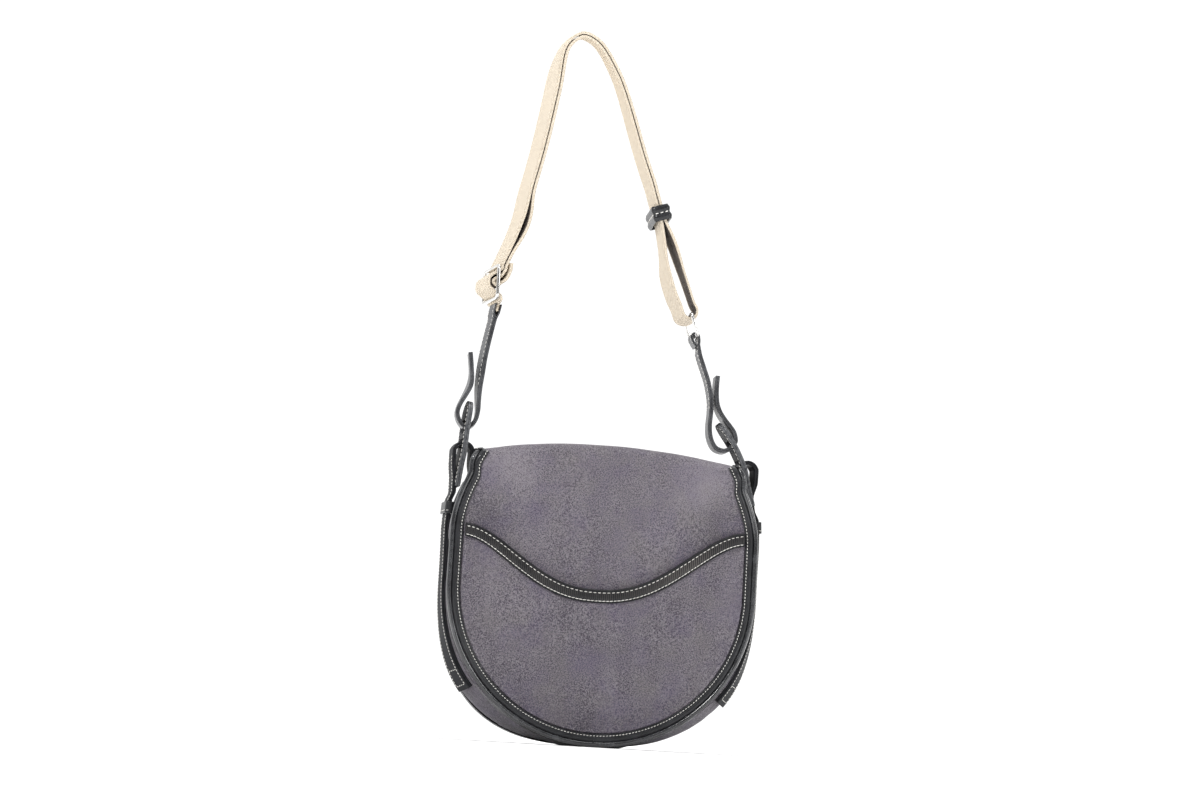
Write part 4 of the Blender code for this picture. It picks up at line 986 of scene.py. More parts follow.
@dataclass
class SuedeShell:
    """Back panel, roof and flap as one sheet of suede, with the leather edging on it."""

    rim: Rim
    thickness: float = 0.002
    back_fold: float = 0.009
    flap_fold: float = 0.012
    hinge_y: float = 0.006
    flap_clearance: float = 0.0041
    flap_tip: float = 0.092
    flap_flare: float = 0.016
    side_pull: float = 0.037
    tip_pull: float = 0.118
    binding_width: float = 0.0068
    binding_thickness: float = 0.0013
    binding_start: float = math.radians(57.0)
    softness: float = 0.0011
    binding_pitch: float = 0.0018
    binding_edge: float = 0.0003
    binding_reach: float = 0.012
    edge_pitch: float = 0.0015
    seam_inset: float = 0.0018
    seam_below: float = 0.003
    edge_fade: float = 0.03
    end_fade: float = 0.02
    row_pitch: float = 0.0022
    roof_steps: int = 22
    flap_steps: int = 96
    waves: tuple[Waves, ...] = (Waves(14.0, 11.0, 0.7, 1.0), Waves(46.0, 38.0, 3.1, 0.28))

    def __post_init__(self) -> None:
        rim = self.rim
        self.fold_start = rim.roof_height - self.back_fold
        self.fold_run = self.back_fold * math.pi / 2
        self.back_run = (self.fold_start + self.fold_run + self.hinge_y
                         + rim.half_depth - self.back_fold)
        self.flap_face = rim.half_depth + self.flap_clearance + self.thickness
        self.flap_start = self.flap_face - self.flap_fold - self.hinge_y - rim.gap
        self.flap_turn = self.flap_fold * math.pi / 2

    def point(self, x: float, run: float, depth: float) -> Vector:
        """Place on the sheet.

        Args:
            x: place across the width.
            run: signed distance from the hinge line: back and down the back below 0.
            depth: depth below the outer face.

        Returns:
            The point in metres.
        """
        if run < 0.0:
            run += self.back_run
            turn = min(max((run - self.fold_start) / self.back_fold, 0.0), math.pi / 2)
            radius = self.back_fold - depth
            rest = max(run - self.fold_start - self.fold_run, 0.0)
            y = -self.rim.half_depth + self.back_fold - radius * math.cos(turn) + rest
            z = min(run, self.fold_start) + radius * math.sin(turn)
        else:
            turn = min(max((run - self.flap_start) / self.flap_fold, 0.0), math.pi / 2)
            radius = self.flap_fold - depth
            rest = max(run - self.flap_start - self.flap_turn, 0.0)
            y = self.hinge_y + self.rim.gap + min(run, self.flap_start) + radius * math.sin(turn)
            z = self.rim.roof_height - self.flap_fold + radius * math.cos(turn) - rest
        return Vector((x, y, z - self.rim.roof_drop(x)))

    def flap_edge(self, t: float) -> Vector:
        """Half outline of the flap below its fold, as (x, height)."""
        start = Vector((self.rim.neck_half, self.rim.neck_height - self.flap_fold))
        tip = Vector((0.0, self.flap_tip))
        return bezier(start, start + Vector((self.flap_flare, -self.side_pull)),
                      tip + Vector((self.tip_pull, 0.0)), tip, t)

    def flap_run(self, x: float, height: float) -> float:
        """Run at which the flap passes a height on the front."""
        return (self.flap_start + self.flap_turn + self.rim.roof_height - self.flap_fold
                - self.rim.roof_drop(x) - height)

    def rows(self) -> list[Pair]:
        """Rows of the sheet as (run, half width), from the bottom of the back to the tip."""
        rim = self.rim
        rows = [(height - self.back_run, half) for height, half in rim.low_rows(64)]
        run = rim.radius
        while run < self.fold_start:
            rows.append((run - self.back_run, rim.inner_x(run, rim.sheet_edge, True, True)))
            run += self.row_pitch
        flat = self.back_run - self.fold_start
        steps = self.roof_steps
        rows += [(-flat + flat * step / steps, rim.neck_half) for step in range(steps)]
        roof = self.flap_start + self.flap_turn
        rows += [(roof * step / steps, rim.neck_half) for step in range(steps)]
        for step in range(self.flap_steps):
            spot = self.flap_edge(step / self.flap_steps)
            rows.append((self.flap_run(spot.x, spot.y), spot.x))
        return rows

    def give(self, x: float, run: float, half: float) -> float:
        """How far the suede stands out of its true surface, fading to nothing at its edges."""
        edge = ease((half - abs(x)) / self.edge_fade)
        return self.softness * edge * sum(wave.at(x, run) for wave in self.waves)

    def sheet(self) -> Piece:
        """The suede sheet itself."""
        rows = self.rows()
        top = self.flap_run(0.0, self.flap_tip)

        def place(u: float, v: float) -> Vector:
            run, half = pick(rows, v)
            x = (2.0 * u - 1.0) * half
            end = ease((top - run) / self.end_fade) * ease((run + self.back_run) / self.end_fade)
            proud = self.give(x, run, half) * end
            return self.point(x, run, self.thickness / 2 - proud)

        return Bench.sheet("suede_shell", (110, len(rows) - 1), place, self.thickness,
                           degrees=50.0)

    def edge_line(self) -> list[Vector]:
        """Line of the shell's free edge as (x, run), right side, tip and left side."""
        start = self.fold_start + self.back_fold * self.binding_start - self.back_run
        half = self.rim.neck_half
        straight = even_line([Vector((half, start)),
                              Vector((half, self.flap_start + self.flap_turn))],
                             self.edge_pitch)
        shares = [step / self.flap_steps for step in range(1, self.flap_steps + 1)]
        edge = [Vector((spot.x, self.flap_run(spot.x, spot.y)))
                for spot in map(self.flap_edge, shares)]
        right = straight + edge
        return right + [Vector((-p.x, p.y)) for p in reversed(right[:-1])]

    def binding(self) -> Piece:
        """Leather folded round the shell's free edge."""
        line = even_line(self.edge_line(), self.binding_pitch)
        normals = left_normals(line)
        out = self.rim.gap + self.binding_thickness / 2
        inside = self.thickness + out
        profile = [(self.binding_width, -out + 0.00025), (self.binding_width - 0.0008, -out),
                   (0.004, -out - 0.0001), (0.001, -out), (0.0, -out * 0.9),
                   (-out, self.thickness / 2), (0.0, inside * 0.97), (0.001, inside),
                   (0.0035, inside)]

        def place(u: float, v: float) -> Vector:
            spot, normal = pick(line, u), pick(normals, u)
            inset, depth = pick(profile, v)
            spot = spot - normal * inset
            return self.point(spot.x, spot.y, depth)

        return Bench.sheet("shell_binding", (len(line) - 1, len(profile) - 1), place,
                           self.binding_thickness, self.binding_edge,
                           (line_length(line), self.binding_reach))

    def seam(self) -> StitchRow:
        """Thread along the shell's binding."""
        line = even_line(self.edge_line(), self.edge_pitch)
        normals = left_normals(line)
        depth = -self.rim.gap - self.binding_thickness
        spots, outs = [], []
        for spot, normal in zip(line, normals):
            flat = spot - normal * (self.binding_width - self.seam_inset)
            here = self.point(flat.x, flat.y, depth)
            spots.append(here)
            outs.append((here - self.point(flat.x, flat.y, self.seam_below)).normalized())
        return StitchRow(spots, outs, **FINE_STITCH)


@dataclass
class Carcass:
    """Gusset, front panel, lining, board and the edging round both rims."""

    rim: Rim
    band_width: float = 0.0083
    band_thickness: float = 0.0015
    gusset_thickness: float = 0.0016
    bulge: float = 0.0043
    full_to: float = 0.150
    flat_from: float = 0.196
    bulge_power: float = 2.5
    taut_share: float = 0.15
    taut_from: float = 0.026
    taut_blend: float = 0.050
    rest_height: float = 0.006
    front_top: float = 0.235
    trim_drops: tuple[float, ...] = (0.009, 0.006, 0.003, 0.0008)
    trim_low: float = 0.008
    trim_map: Pair = (0.24, 0.009)
    band_map: Pair = (0.75, 0.01)
    lining_thickness: float = 0.0012
    lining_top: float = 0.206
    board_turn: float = math.radians(38.0)
    board_half: float = 0.0175
    board_thickness: float = 0.0015
    binding_width: float = 0.0068
    binding_thickness: float = 0.0013
    suede: float = 0.002
    seam_inset: float = 0.0019
    thread_rise: float = 0.0001
    strip_edge: float = 0.0004
    back_top: float = 1.0
    back_fold: float = 0.009
    bead_top: float = 0.93
    edge_fade: float = 0.03
    lining_give: float = 0.0008
    cloth_share: float = 0.6
    folds: tuple[Waves, ...] = (Waves(26.0, 40.0, 5.0, 0.0009), Waves(70.0, 70.0, 9.0, 0.00035))
    front_wave: Waves = Waves(16.0, 14.0, 8.0, 0.0007)

    def __post_init__(self) -> None:
        rim = self.rim
        self.gusset_half = rim.half_depth - rim.bead_radius - rim.gap
        self.seat = rim.gap + self.band_thickness + rim.gap
        self.band_inner = self.gusset_half - self.band_width
        self.lining_inset = (self.seat + self.gusset_thickness + rim.gap
                             + self.lining_thickness / 2)

    def wrap(self, point: Vector) -> Vector:
        """Carry a point of the back binding round the fold at the roof."""
        drop = self.rim.roof_drop(point.x)
        start = self.rim.roof_height - self.back_fold
        if point.y > 0.0 or point.z + drop <= start:
            return point
        turn = (point.z + drop - start) / self.back_fold
        radius = self.back_fold - point.y - self.rim.half_depth
        return Vector((point.x, self.back_fold - self.rim.half_depth - radius * math.cos(turn),
                       start + radius * math.sin(turn) - drop))

    def bulge_at(self, height: float) -> float:
        """Share of the full bulge at a height; the lower corners are drawn taut."""
        upper = 1.0 - ease((height - self.full_to) / (self.flat_from - self.full_to))
        corner = max(ease((height - self.taut_from) / self.taut_blend),
                     1.0 - ease(height / self.rest_height))
        return upper * (self.taut_share + (1.0 - self.taut_share) * corner)

    def gusset(self) -> Piece:
        """Suede gusset, bulged between the bands and flattened where the bag rests."""
        stations = self.rim.stations(260, self.rim.gusset_end)
        reach = self.band_inner - self.rim.gap

        def place(u: float, v: float) -> Vector:
            station = pick(stations, u)
            depth = (2.0 * v - 1.0) * self.gusset_half
            crown = max(1.0 - abs(depth / reach) ** self.bulge_power, 0.0)
            fold = sum(wave.at(u, depth) for wave in self.folds)
            proud = self.bulge * self.bulge_at(station.place.y) * crown + fold * crown
            spot = station.place + station.outward * (proud - self.seat
                                                      - self.gusset_thickness / 2)
            return Vector((spot.x, depth, max(spot.y, self.gusset_thickness / 2)))

        return Bench.sheet("gusset_suede", (260, 36), place, self.gusset_thickness, degrees=60.0)

    def gusset_cut(self) -> Triple:
        """Width, length and area of the gusset's strip of suede."""
        line = [s.place - s.outward * self.seat
                for s in self.rim.stations(260, self.rim.gusset_end)]
        width = 2.0 * self.gusset_half + self.bulge ** 2 / self.gusset_half
        return width, line_length(line), width * line_length(line)

    def lining_cut(self) -> Triple:
        """Width, length and area of the lining as cut: two panels with the strip round them."""
        rim, inset = self.rim, self.lining_inset
        rows = [(s.place.y - s.outward.y * inset, s.place.x - s.outward.x * inset)
                for s in rim.half if s.place.y < self.lining_top]
        width, tall, area = row_cut(rows)
        edge = [Vector(row) for row in rows]
        strip = 2.0 * (rim.half_depth - self.suede - rim.gap)
        area = 2.0 * area + 2.0 * strip * line_length(edge)
        return width + 2.0 * strip, 2.0 * tall + strip, area

    def front_rows(self) -> list[Pair]:
        """Rows of the front panel as (height, half width)."""
        rim = self.rim
        rows = rim.low_rows(48)
        for step in range(37):
            height = rim.radius + (self.front_top - rim.radius) * step / 36
            rows.append((height, rim.inner_x(height, rim.sheet_edge)))
        return rows

    def front_cut(self) -> Triple:
        """Width, length and area of the front panel's suede."""
        return row_cut(self.front_rows())

    def front(self) -> Piece:
        """Front suede panel."""
        rim = self.rim
        rows = self.front_rows()

        def place(u: float, v: float) -> Vector:
            height, half = pick(rows, v)
            x = (2.0 * u - 1.0) * half
            give = self.front_wave.at(x, height) * ease((half - abs(x)) / self.edge_fade)
            return Vector((x, rim.half_depth - self.suede / 2 + give, height))

        return Bench.sheet("front_suede", (60, len(rows) - 1), place, self.suede, degrees=50.0)

    def edging_spot(self, station: Station, offset: float, y: float, shifted: bool,
                    floor: float = 0.0) -> Vector:
        """Place beside the rim.

        Args:
            station: the place on the rim.
            offset: distance outside the rim.
            y: depth of the place.
            shifted: whether it moves out to the sheet's edge past the gusset, and on to the roof.
            floor: the least height.

        Returns:
            The place.
        """
        shift = self.rim.free_shift(station.free) if shifted else 0.0
        spot = station.place + station.outward * (offset + shift)
        point = Vector((spot.x, y, max(spot.y, floor)))
        return self.wrap(point) if shifted else point

    def rim_strip(self, name: str, profile: Sequence[Pair], top: float, shifted: bool,
                  thickness: float) -> Piece:
        """Strip of leather swept round the rim.

        Args:
            name: the piece's name.
            profile: (offset, y) points across the strip's middle surface.
            top: where both ends stop along the free shoulder.
            shifted: whether it moves out to the sheet's edge past the gusset.
            thickness: the leather's thickness.

        Returns:
            The strip.
        """
        stations = self.rim.stations(300, top)
        floor = self.rim.lift + thickness / 2

        def place(u: float, v: float) -> Vector:
            return self.edging_spot(pick(stations, u), *pick(profile, v), shifted, floor)

        return Bench.sheet(name, (300, len(profile) - 1), place, thickness,
                           self.strip_edge, self.band_map)

    def bead(self, facing: int, name: str) -> Piece:
        """Round piping bead along one rim; the back's goes on to the roof."""
        radius, y = self.rim.bead_radius, facing * self.rim.half_depth
        stations = self.rim.stations(220, self.bead_top if facing < 0 else self.rim.gusset_end)
        line = [self.edging_spot(station, -radius, y, True, self.rim.lift + radius)
                for station in stations]
        return Bench.wire(name, [(line, False)], radius)

    def flat_profile(self, facing: int) -> list[Pair]:
        """Middle surface of the flat binding: a soft crown with a dip at the thread."""
        low = facing * (self.rim.half_depth + self.rim.gap + self.binding_thickness / 2)
        outer = -self.rim.sheet_edge
        crown = (-0.0002, 0.0005, 0.0008, 0.0006, 0.0001, 0.00018, 0.0001, -0.0001)
        return [(outer - self.binding_width * index / (len(crown) - 1), low + facing * rise)
                for index, rise in enumerate(crown)]

    def seam(self, facing: int, top: float, shifted: bool) -> StitchRow:
        """Thread near the inner edge of a flat binding."""
        y = facing * (self.rim.half_depth + self.rim.gap + self.binding_thickness
                      + self.thread_rise)
        offset = self.seam_inset - self.rim.sheet_edge - self.binding_width
        spots = [self.edging_spot(station, offset, y, shifted)
                 for station in self.rim.stations(300, top)]
        return StitchRow(spots, [Vector((0.0, facing, 0.0))] * len(spots), **FINE_STITCH)

    def band_profile(self, facing: int) -> list[Pair]:
        """Middle surface of the leather band beside a rim."""
        offset = -self.rim.gap - self.band_thickness / 2
        rises = (-0.0001, 0.0, 0.0, 0.0, -0.0001)
        return [(offset + rise, facing * (self.gusset_half - self.band_width * index / 4))
                for index, rise in enumerate(rises)]

    def mouth_trim(self) -> Piece:
        """Leather strip along the front panel's top edge, folded over it."""
        inset = self.rim.sheet_edge + self.binding_width + self.rim.gap
        half = self.rim.inner_x(self.front_top - self.trim_low, inset)
        y = self.rim.half_depth + self.rim.gap + self.binding_thickness / 2
        profile = [(self.front_top - drop, y) for drop in self.trim_drops]

        def place(u: float, v: float) -> Vector:
            height, depth = pick(profile, v)
            return Vector(((2.0 * u - 1.0) * half, depth, height))

        return Bench.sheet("mouth_trim_leather", (90, len(profile) - 1), place,
                           self.binding_thickness, self.strip_edge, self.trim_map)

    def lining(self) -> Piece:
        """Lining cloth: an open-topped bag just inside the panels and the gusset."""
        half = self.rim.half_depth - self.suede - self.rim.gap - self.lining_thickness / 2
        stations = self.rim.stations(180, self.rim.gusset_end)
        stations = [s for s in stations if s.place.y < self.lining_top]
        across = ([(step / 12, -1.0) for step in range(13)]
                  + [(1.0, -1.0 + 2.0 * step / 12) for step in range(1, 12)]
                  + [(1.0 - step / 12, 1.0) for step in range(13)])

        def place(u: float, v: float) -> Vector:
            station = pick(stations, u)
            share, side = pick(across, v)
            spot = station.place - station.outward * self.lining_inset
            give = noise.noise(Vector((spot.x * 30.0, side * 2.0 + share, spot.y * 26.0)))
            return Vector((spot.x * share, side * (half - abs(give) * self.lining_give), spot.y))

        return Bench.sheet("lining_cloth", (len(stations) - 1, len(across) - 1), place,
                           self.lining_thickness * self.cloth_share,
                           degrees=60.0)

    def board(self) -> Piece:
        """Stiff board in the bottom."""
        radius = self.rim.radius - self.seat - self.gusset_thickness + self.board_thickness / 2

        def place(u: float, v: float) -> Vector:
            turn = self.board_turn * (2.0 * u - 1.0)
            return Vector((radius * math.sin(turn), (2.0 * v - 1.0) * self.board_half,
                           self.rim.radius - radius * math.cos(turn)))

        return Bench.sheet("base_board", (60, 6), place, self.board_thickness, 0.0003)


@dataclass
class SlipPocket:
    """The back pocket with its wavy bound edge."""

    rim: Rim
    suede: float = 0.0018
    full_gap: float = 0.0046
    seam_rise: float = 0.020
    side_gap: float = 0.0010
    low: float = 0.1375
    rise_left: float = 0.052
    rise_right: float = 0.0585
    centre: float = -0.005
    power: float = 1.25
    trim_width: float = 0.0110
    trim_thickness: float = 0.0012
    binding_width: float = 0.0068
    stand_share: float = 0.45
    hem: float = 0.0006
    trim_edge: float = 0.00035
    trim_map: Pair = (0.30, 0.012)
    seam_ends: float = 0.001
    seam_rows: tuple[Triple, ...] = ((0.17, 0.0034, 0.0032), (0.83, 0.0041, 0.0028))
    thread_radius: float = 0.00034
    edge_fade: float = 0.03
    waves: tuple[Waves, ...] = (Waves(15.0, 13.0, 2.0, 0.0010), Waves(48.0, 40.0, 6.0, 0.00025))

    def __post_init__(self) -> None:
        self.reach = self.rim.radius - self.rim.sheet_edge - self.binding_width - self.side_gap

    def edge_distance(self, x: float, height: float) -> float:
        """Distance to the inner edge of the flat binding."""
        if height < self.rim.radius:
            return self.reach - math.hypot(x, self.rim.radius - height)
        return self.reach - abs(x)

    def lift(self, x: float, height: float) -> float:
        """How far the pocket stands off the back panel."""
        share = ease(self.edge_distance(x, height) / self.seam_rise)
        return self.rim.gap + (self.full_gap - self.rim.gap) * share

    def top(self, x: float) -> float:
        """Height of the wavy edge."""
        side, rise = (-1, self.rise_left) if x < self.centre else (1, self.rise_right)
        reach = self.reach + self.side_gap - side * self.centre
        share = min(abs(x - self.centre) / reach, 1.0) ** self.power
        return self.low + rise * ease(share)

    def panel(self) -> Piece:
        """Suede front of the pocket."""

        def place(u: float, v: float) -> Vector:
            x = self.reach * math.sin(math.pi * (u - 0.5))
            below = self.rim.radius - math.sqrt(max(self.reach ** 2 - x * x, 0.0))
            height = below + (self.top(x) - self.hem - below) * v
            give = sum(wave.at(x, height) for wave in self.waves)
            give *= ease(self.edge_distance(x, height) / self.edge_fade)
            lift = self.lift(x, height) + self.suede / 2 + give
            return Vector((x, -self.rim.half_depth - lift, height))

        return Bench.sheet("pocket_suede", (150, 90), place, self.suede, degrees=55.0)

    def cut(self) -> Triple:
        """Width, length and area of the pocket's suede as cut."""
        xs = [self.reach * (step / 100.0 - 1.0) for step in range(201)]
        tall = [self.top(x) - self.rim.radius + math.sqrt(max(self.reach ** 2 - x * x, 0.0))
                for x in xs]
        area = sum((a + b) / 2 for a, b in zip(tall, tall[1:])) * self.reach / 100.0
        return 2.0 * self.reach, max(tall), area

    def trim_spot(self, x: float, share: float) -> Vector:
        """Place on the trim's outer face: across the width, and from its low to its top edge."""
        step = 0.002
        slope = (self.top(x + step) - self.top(x - step)) / (2 * step)
        tall = self.trim_width * math.hypot(1.0, slope)
        top = self.top(x)
        lift = max(self.lift(x, top), self.lift(x, top - tall))
        stand = 2 * self.rim.gap + (self.full_gap - lift) * self.stand_share
        y = -self.rim.half_depth - lift - self.suede - stand - self.trim_thickness
        return Vector((x, y, top - tall * (1.0 - share)))

    def trim(self) -> Piece:
        """Leather that binds the wavy edge, folded over the top."""
        reach = self.reach - self.rim.gap
        profile = [(0.0, 0.0), (0.05, -0.0002), (0.17, 0.0001), (0.35, -0.00045), (0.5, -0.0006),
                   (0.65, -0.00045), (0.83, 0.0001), (0.95, -0.0002), (1.0, 0.0), (1.05, 0.0011),
                   (1.04, 0.0022)]

        def place(u: float, v: float) -> Vector:
            share, out = pick(profile, v)
            spot = self.trim_spot((2.0 * u - 1.0) * reach, share)
            spot.y += self.trim_thickness / 2 + out
            return spot

        return Bench.sheet("pocket_trim_leather", (220, len(profile) - 1), place,
                           self.trim_thickness, self.trim_edge, self.trim_map)

    def seams(self) -> list[StitchRow]:
        """Both rows of thread on the trim."""
        reach = self.reach - self.rim.gap - self.seam_ends
        rows = []
        for share, pitch, length in self.seam_rows:
            line = [self.trim_spot((2.0 * step / 200 - 1.0) * reach, share) for step in range(201)]
            rows.append(StitchRow(line, [Vector((0.0, -1.0, 0.0))] * len(line), pitch=pitch,
                                  length=length, radius=self.thread_radius))
        return rows


# Straps


STRAP_Y = -0.014
PLY_EDGE = 0.0005
PLY_SHARE = 0.495
LOOP_CORNER_SHARE = 0.9
LOOP_EDGE_SHARE = 0.22
LOOP_PITCH = 0.0012


@dataclass
class Ribbon:
    """A strap whose middle line lies in the XZ plane and whose width runs along Y."""

    line: list[Vector]
    width: float
    thickness: float
    thicks: Sequence[float] = ()

    def __post_init__(self) -> None:
        self.normals = left_normals(self.line)
        self.last = len(self.line) - 1
        if not self.thicks:
            self.thicks = [self.thickness] * len(self.line)

    @staticmethod
    def section(rows: int) -> list[tuple[float, float, float, float]]:
        """Shares round a flat section: two for its flat core, two for its rounded edge."""
        ring = []
        for face, first in ((1, 90.0), (-1, 270.0)):
            ring += [(face * (1.0 - 2.0 * step / rows), face, 0.0, face)
                     for step in range(rows + 1)]
            for corner, turns in ((face, (30.0, 60.0, 90.0)), (-face, (90.0, 120.0, 150.0))):
                ring += [(-face, corner, math.cos(math.radians(first + turn)),
                          math.sin(math.radians(first + turn))) for turn in turns]
        return ring

    def ply(self, name: str, edge: float, offset: Callable[[int], float],
            thick: Callable[[int], float], rows: int = 6,
            widths: Callable[[float], float] | None = None) -> Piece:
        """One layer of the strap, swept with rounded edges that are marked as painted.

        Args:
            name: the piece's name.
            edge: how far its edges are rounded.
            offset: distance from the middle line along its normal, by station.
            thick: the layer's thickness, by station.
            rows: cells across the width.
            widths: share of the full width by share of the length.

        Returns:
            The layer.
        """
        ring = self.section(rows)

        def place(u: float, v: float) -> Vector:
            index = int(round(u * self.last))
            core_a, core_b, round_a, round_b = ring[int(round(v * len(ring))) % len(ring)]
            tall = thick(index) / 2
            wide = self.width * (widths(u) if widths else 1.0) / 2
            bend = min(edge, tall)
            across = core_a * (wide - bend) + round_a * bend
            depth = offset(index) + core_b * (tall - bend) + round_b * bend
            spot = self.line[index] + self.normals[index] * depth
            return stand(spot, STRAP_Y + across)

        piece = Bench.grid(name, self.last, len(ring), place,
                           (line_length(self.line), self.width / rows * len(ring)))
        Bench.seal(piece, fill=True)
        Bench.mark_edges(piece)
        Bench.shade(piece, 40.0)
        return piece

    def two_ply(self, name: str) -> Piece:
        """Two layers of leather sewn together, with the seam showing between them."""
        return Bench.plies(name, lambda part, side: self.ply(
            part, PLY_EDGE, lambda index: side * self.thicks[index] / 4,
            lambda index: self.thicks[index] * PLY_SHARE))

    def row(self, face: int, across: float, start: float, end: float,
            **stitch: float) -> StitchRow:
        """Row of thread along the strap.

        Args:
            face: +1 for the side that the normals point to, -1 for the other.
            across: distance from the middle of the strap's width.
            start: share of the length at which the row starts.
            end: share of the length at which it ends.
            **stitch: the stitch's sizes.

        Returns:
            The row.
        """
        spots, outs = [], []
        for index in range(int(start * self.last), int(end * self.last) + 1):
            normal = self.normals[index] * face
            place = self.line[index] + normal * (self.thicks[index] / 2)
            spots.append(stand(place, STRAP_Y + across))
            outs.append(stand(normal, 0.0))
        return StitchRow(spots, outs, **stitch)

    def bar(self, face: int, share: float, half: float, **stitch: float) -> StitchRow:
        """Row of thread across the strap."""
        index = int(share * self.last)
        normal = self.normals[index] * face
        place = self.line[index] + normal * (self.thicks[index] / 2)
        return tack(stand(place, STRAP_Y), Vector((0.0, half, 0.0)), stand(normal, 0.0), **stitch)


def rounded_frame(low: Vector, high: Vector, corner: float) -> list[Vector]:
    """Outline of a rectangle with round corners, seven points to each."""
    line = []
    for turn, x, y in ((0.0, high.x - corner, high.y - corner),
                       (90.0, low.x + corner, high.y - corner),
                       (180.0, low.x + corner, low.y + corner),
                       (270.0, high.x - corner, low.y + corner)):
        line += [Vector((x, y)) + corner * toward(math.radians(turn + 15.0 * step))
                 for step in range(7)]
    return line


def band_loop(name: str, place: Vector, along: Vector, hole: Vector, wall: float, height: float,
              ridge: float = 0.0) -> Piece:
    """Leather loop round a strap.

    Args:
        name: the piece's name.
        place: its centre in the XZ plane.
        along: direction of the strap through it.
        hole: half sizes of its opening, through the strap and along Y.
        wall: its thickness.
        height: its size along the strap.
        ridge: how far two ridges stand up beside its middle.

    Returns:
        The loop.
    """
    out = Vector((along.y, -along.x))
    half = hole + Vector((wall / 2, wall / 2))
    line = rounded_frame(-half, half, wall * LOOP_CORNER_SHARE)
    line = even_line([*line, line[0]], LOOP_PITCH)

    def lay(u: float, v: float) -> Vector:
        a, b = pick(line, u)
        swell = 1.0 + ridge * (0.5 - 0.5 * math.cos(4 * math.pi * v)) / half.x
        spot = place + out * (a * swell) + along * ((v - 0.5) * height)
        return stand(spot, STRAP_Y + b * (1.0 + (swell - 1.0) * half.x / half.y))

    piece = Bench.grid(name, len(line) - 1, 10, lay, (line_length(line), height))
    Bench.seal(piece)
    Bench.thicken(piece, wall)
    Bench.ease_edges(piece, wall * LOOP_EDGE_SHARE, 3)
    Bench.shade(piece)
    return piece


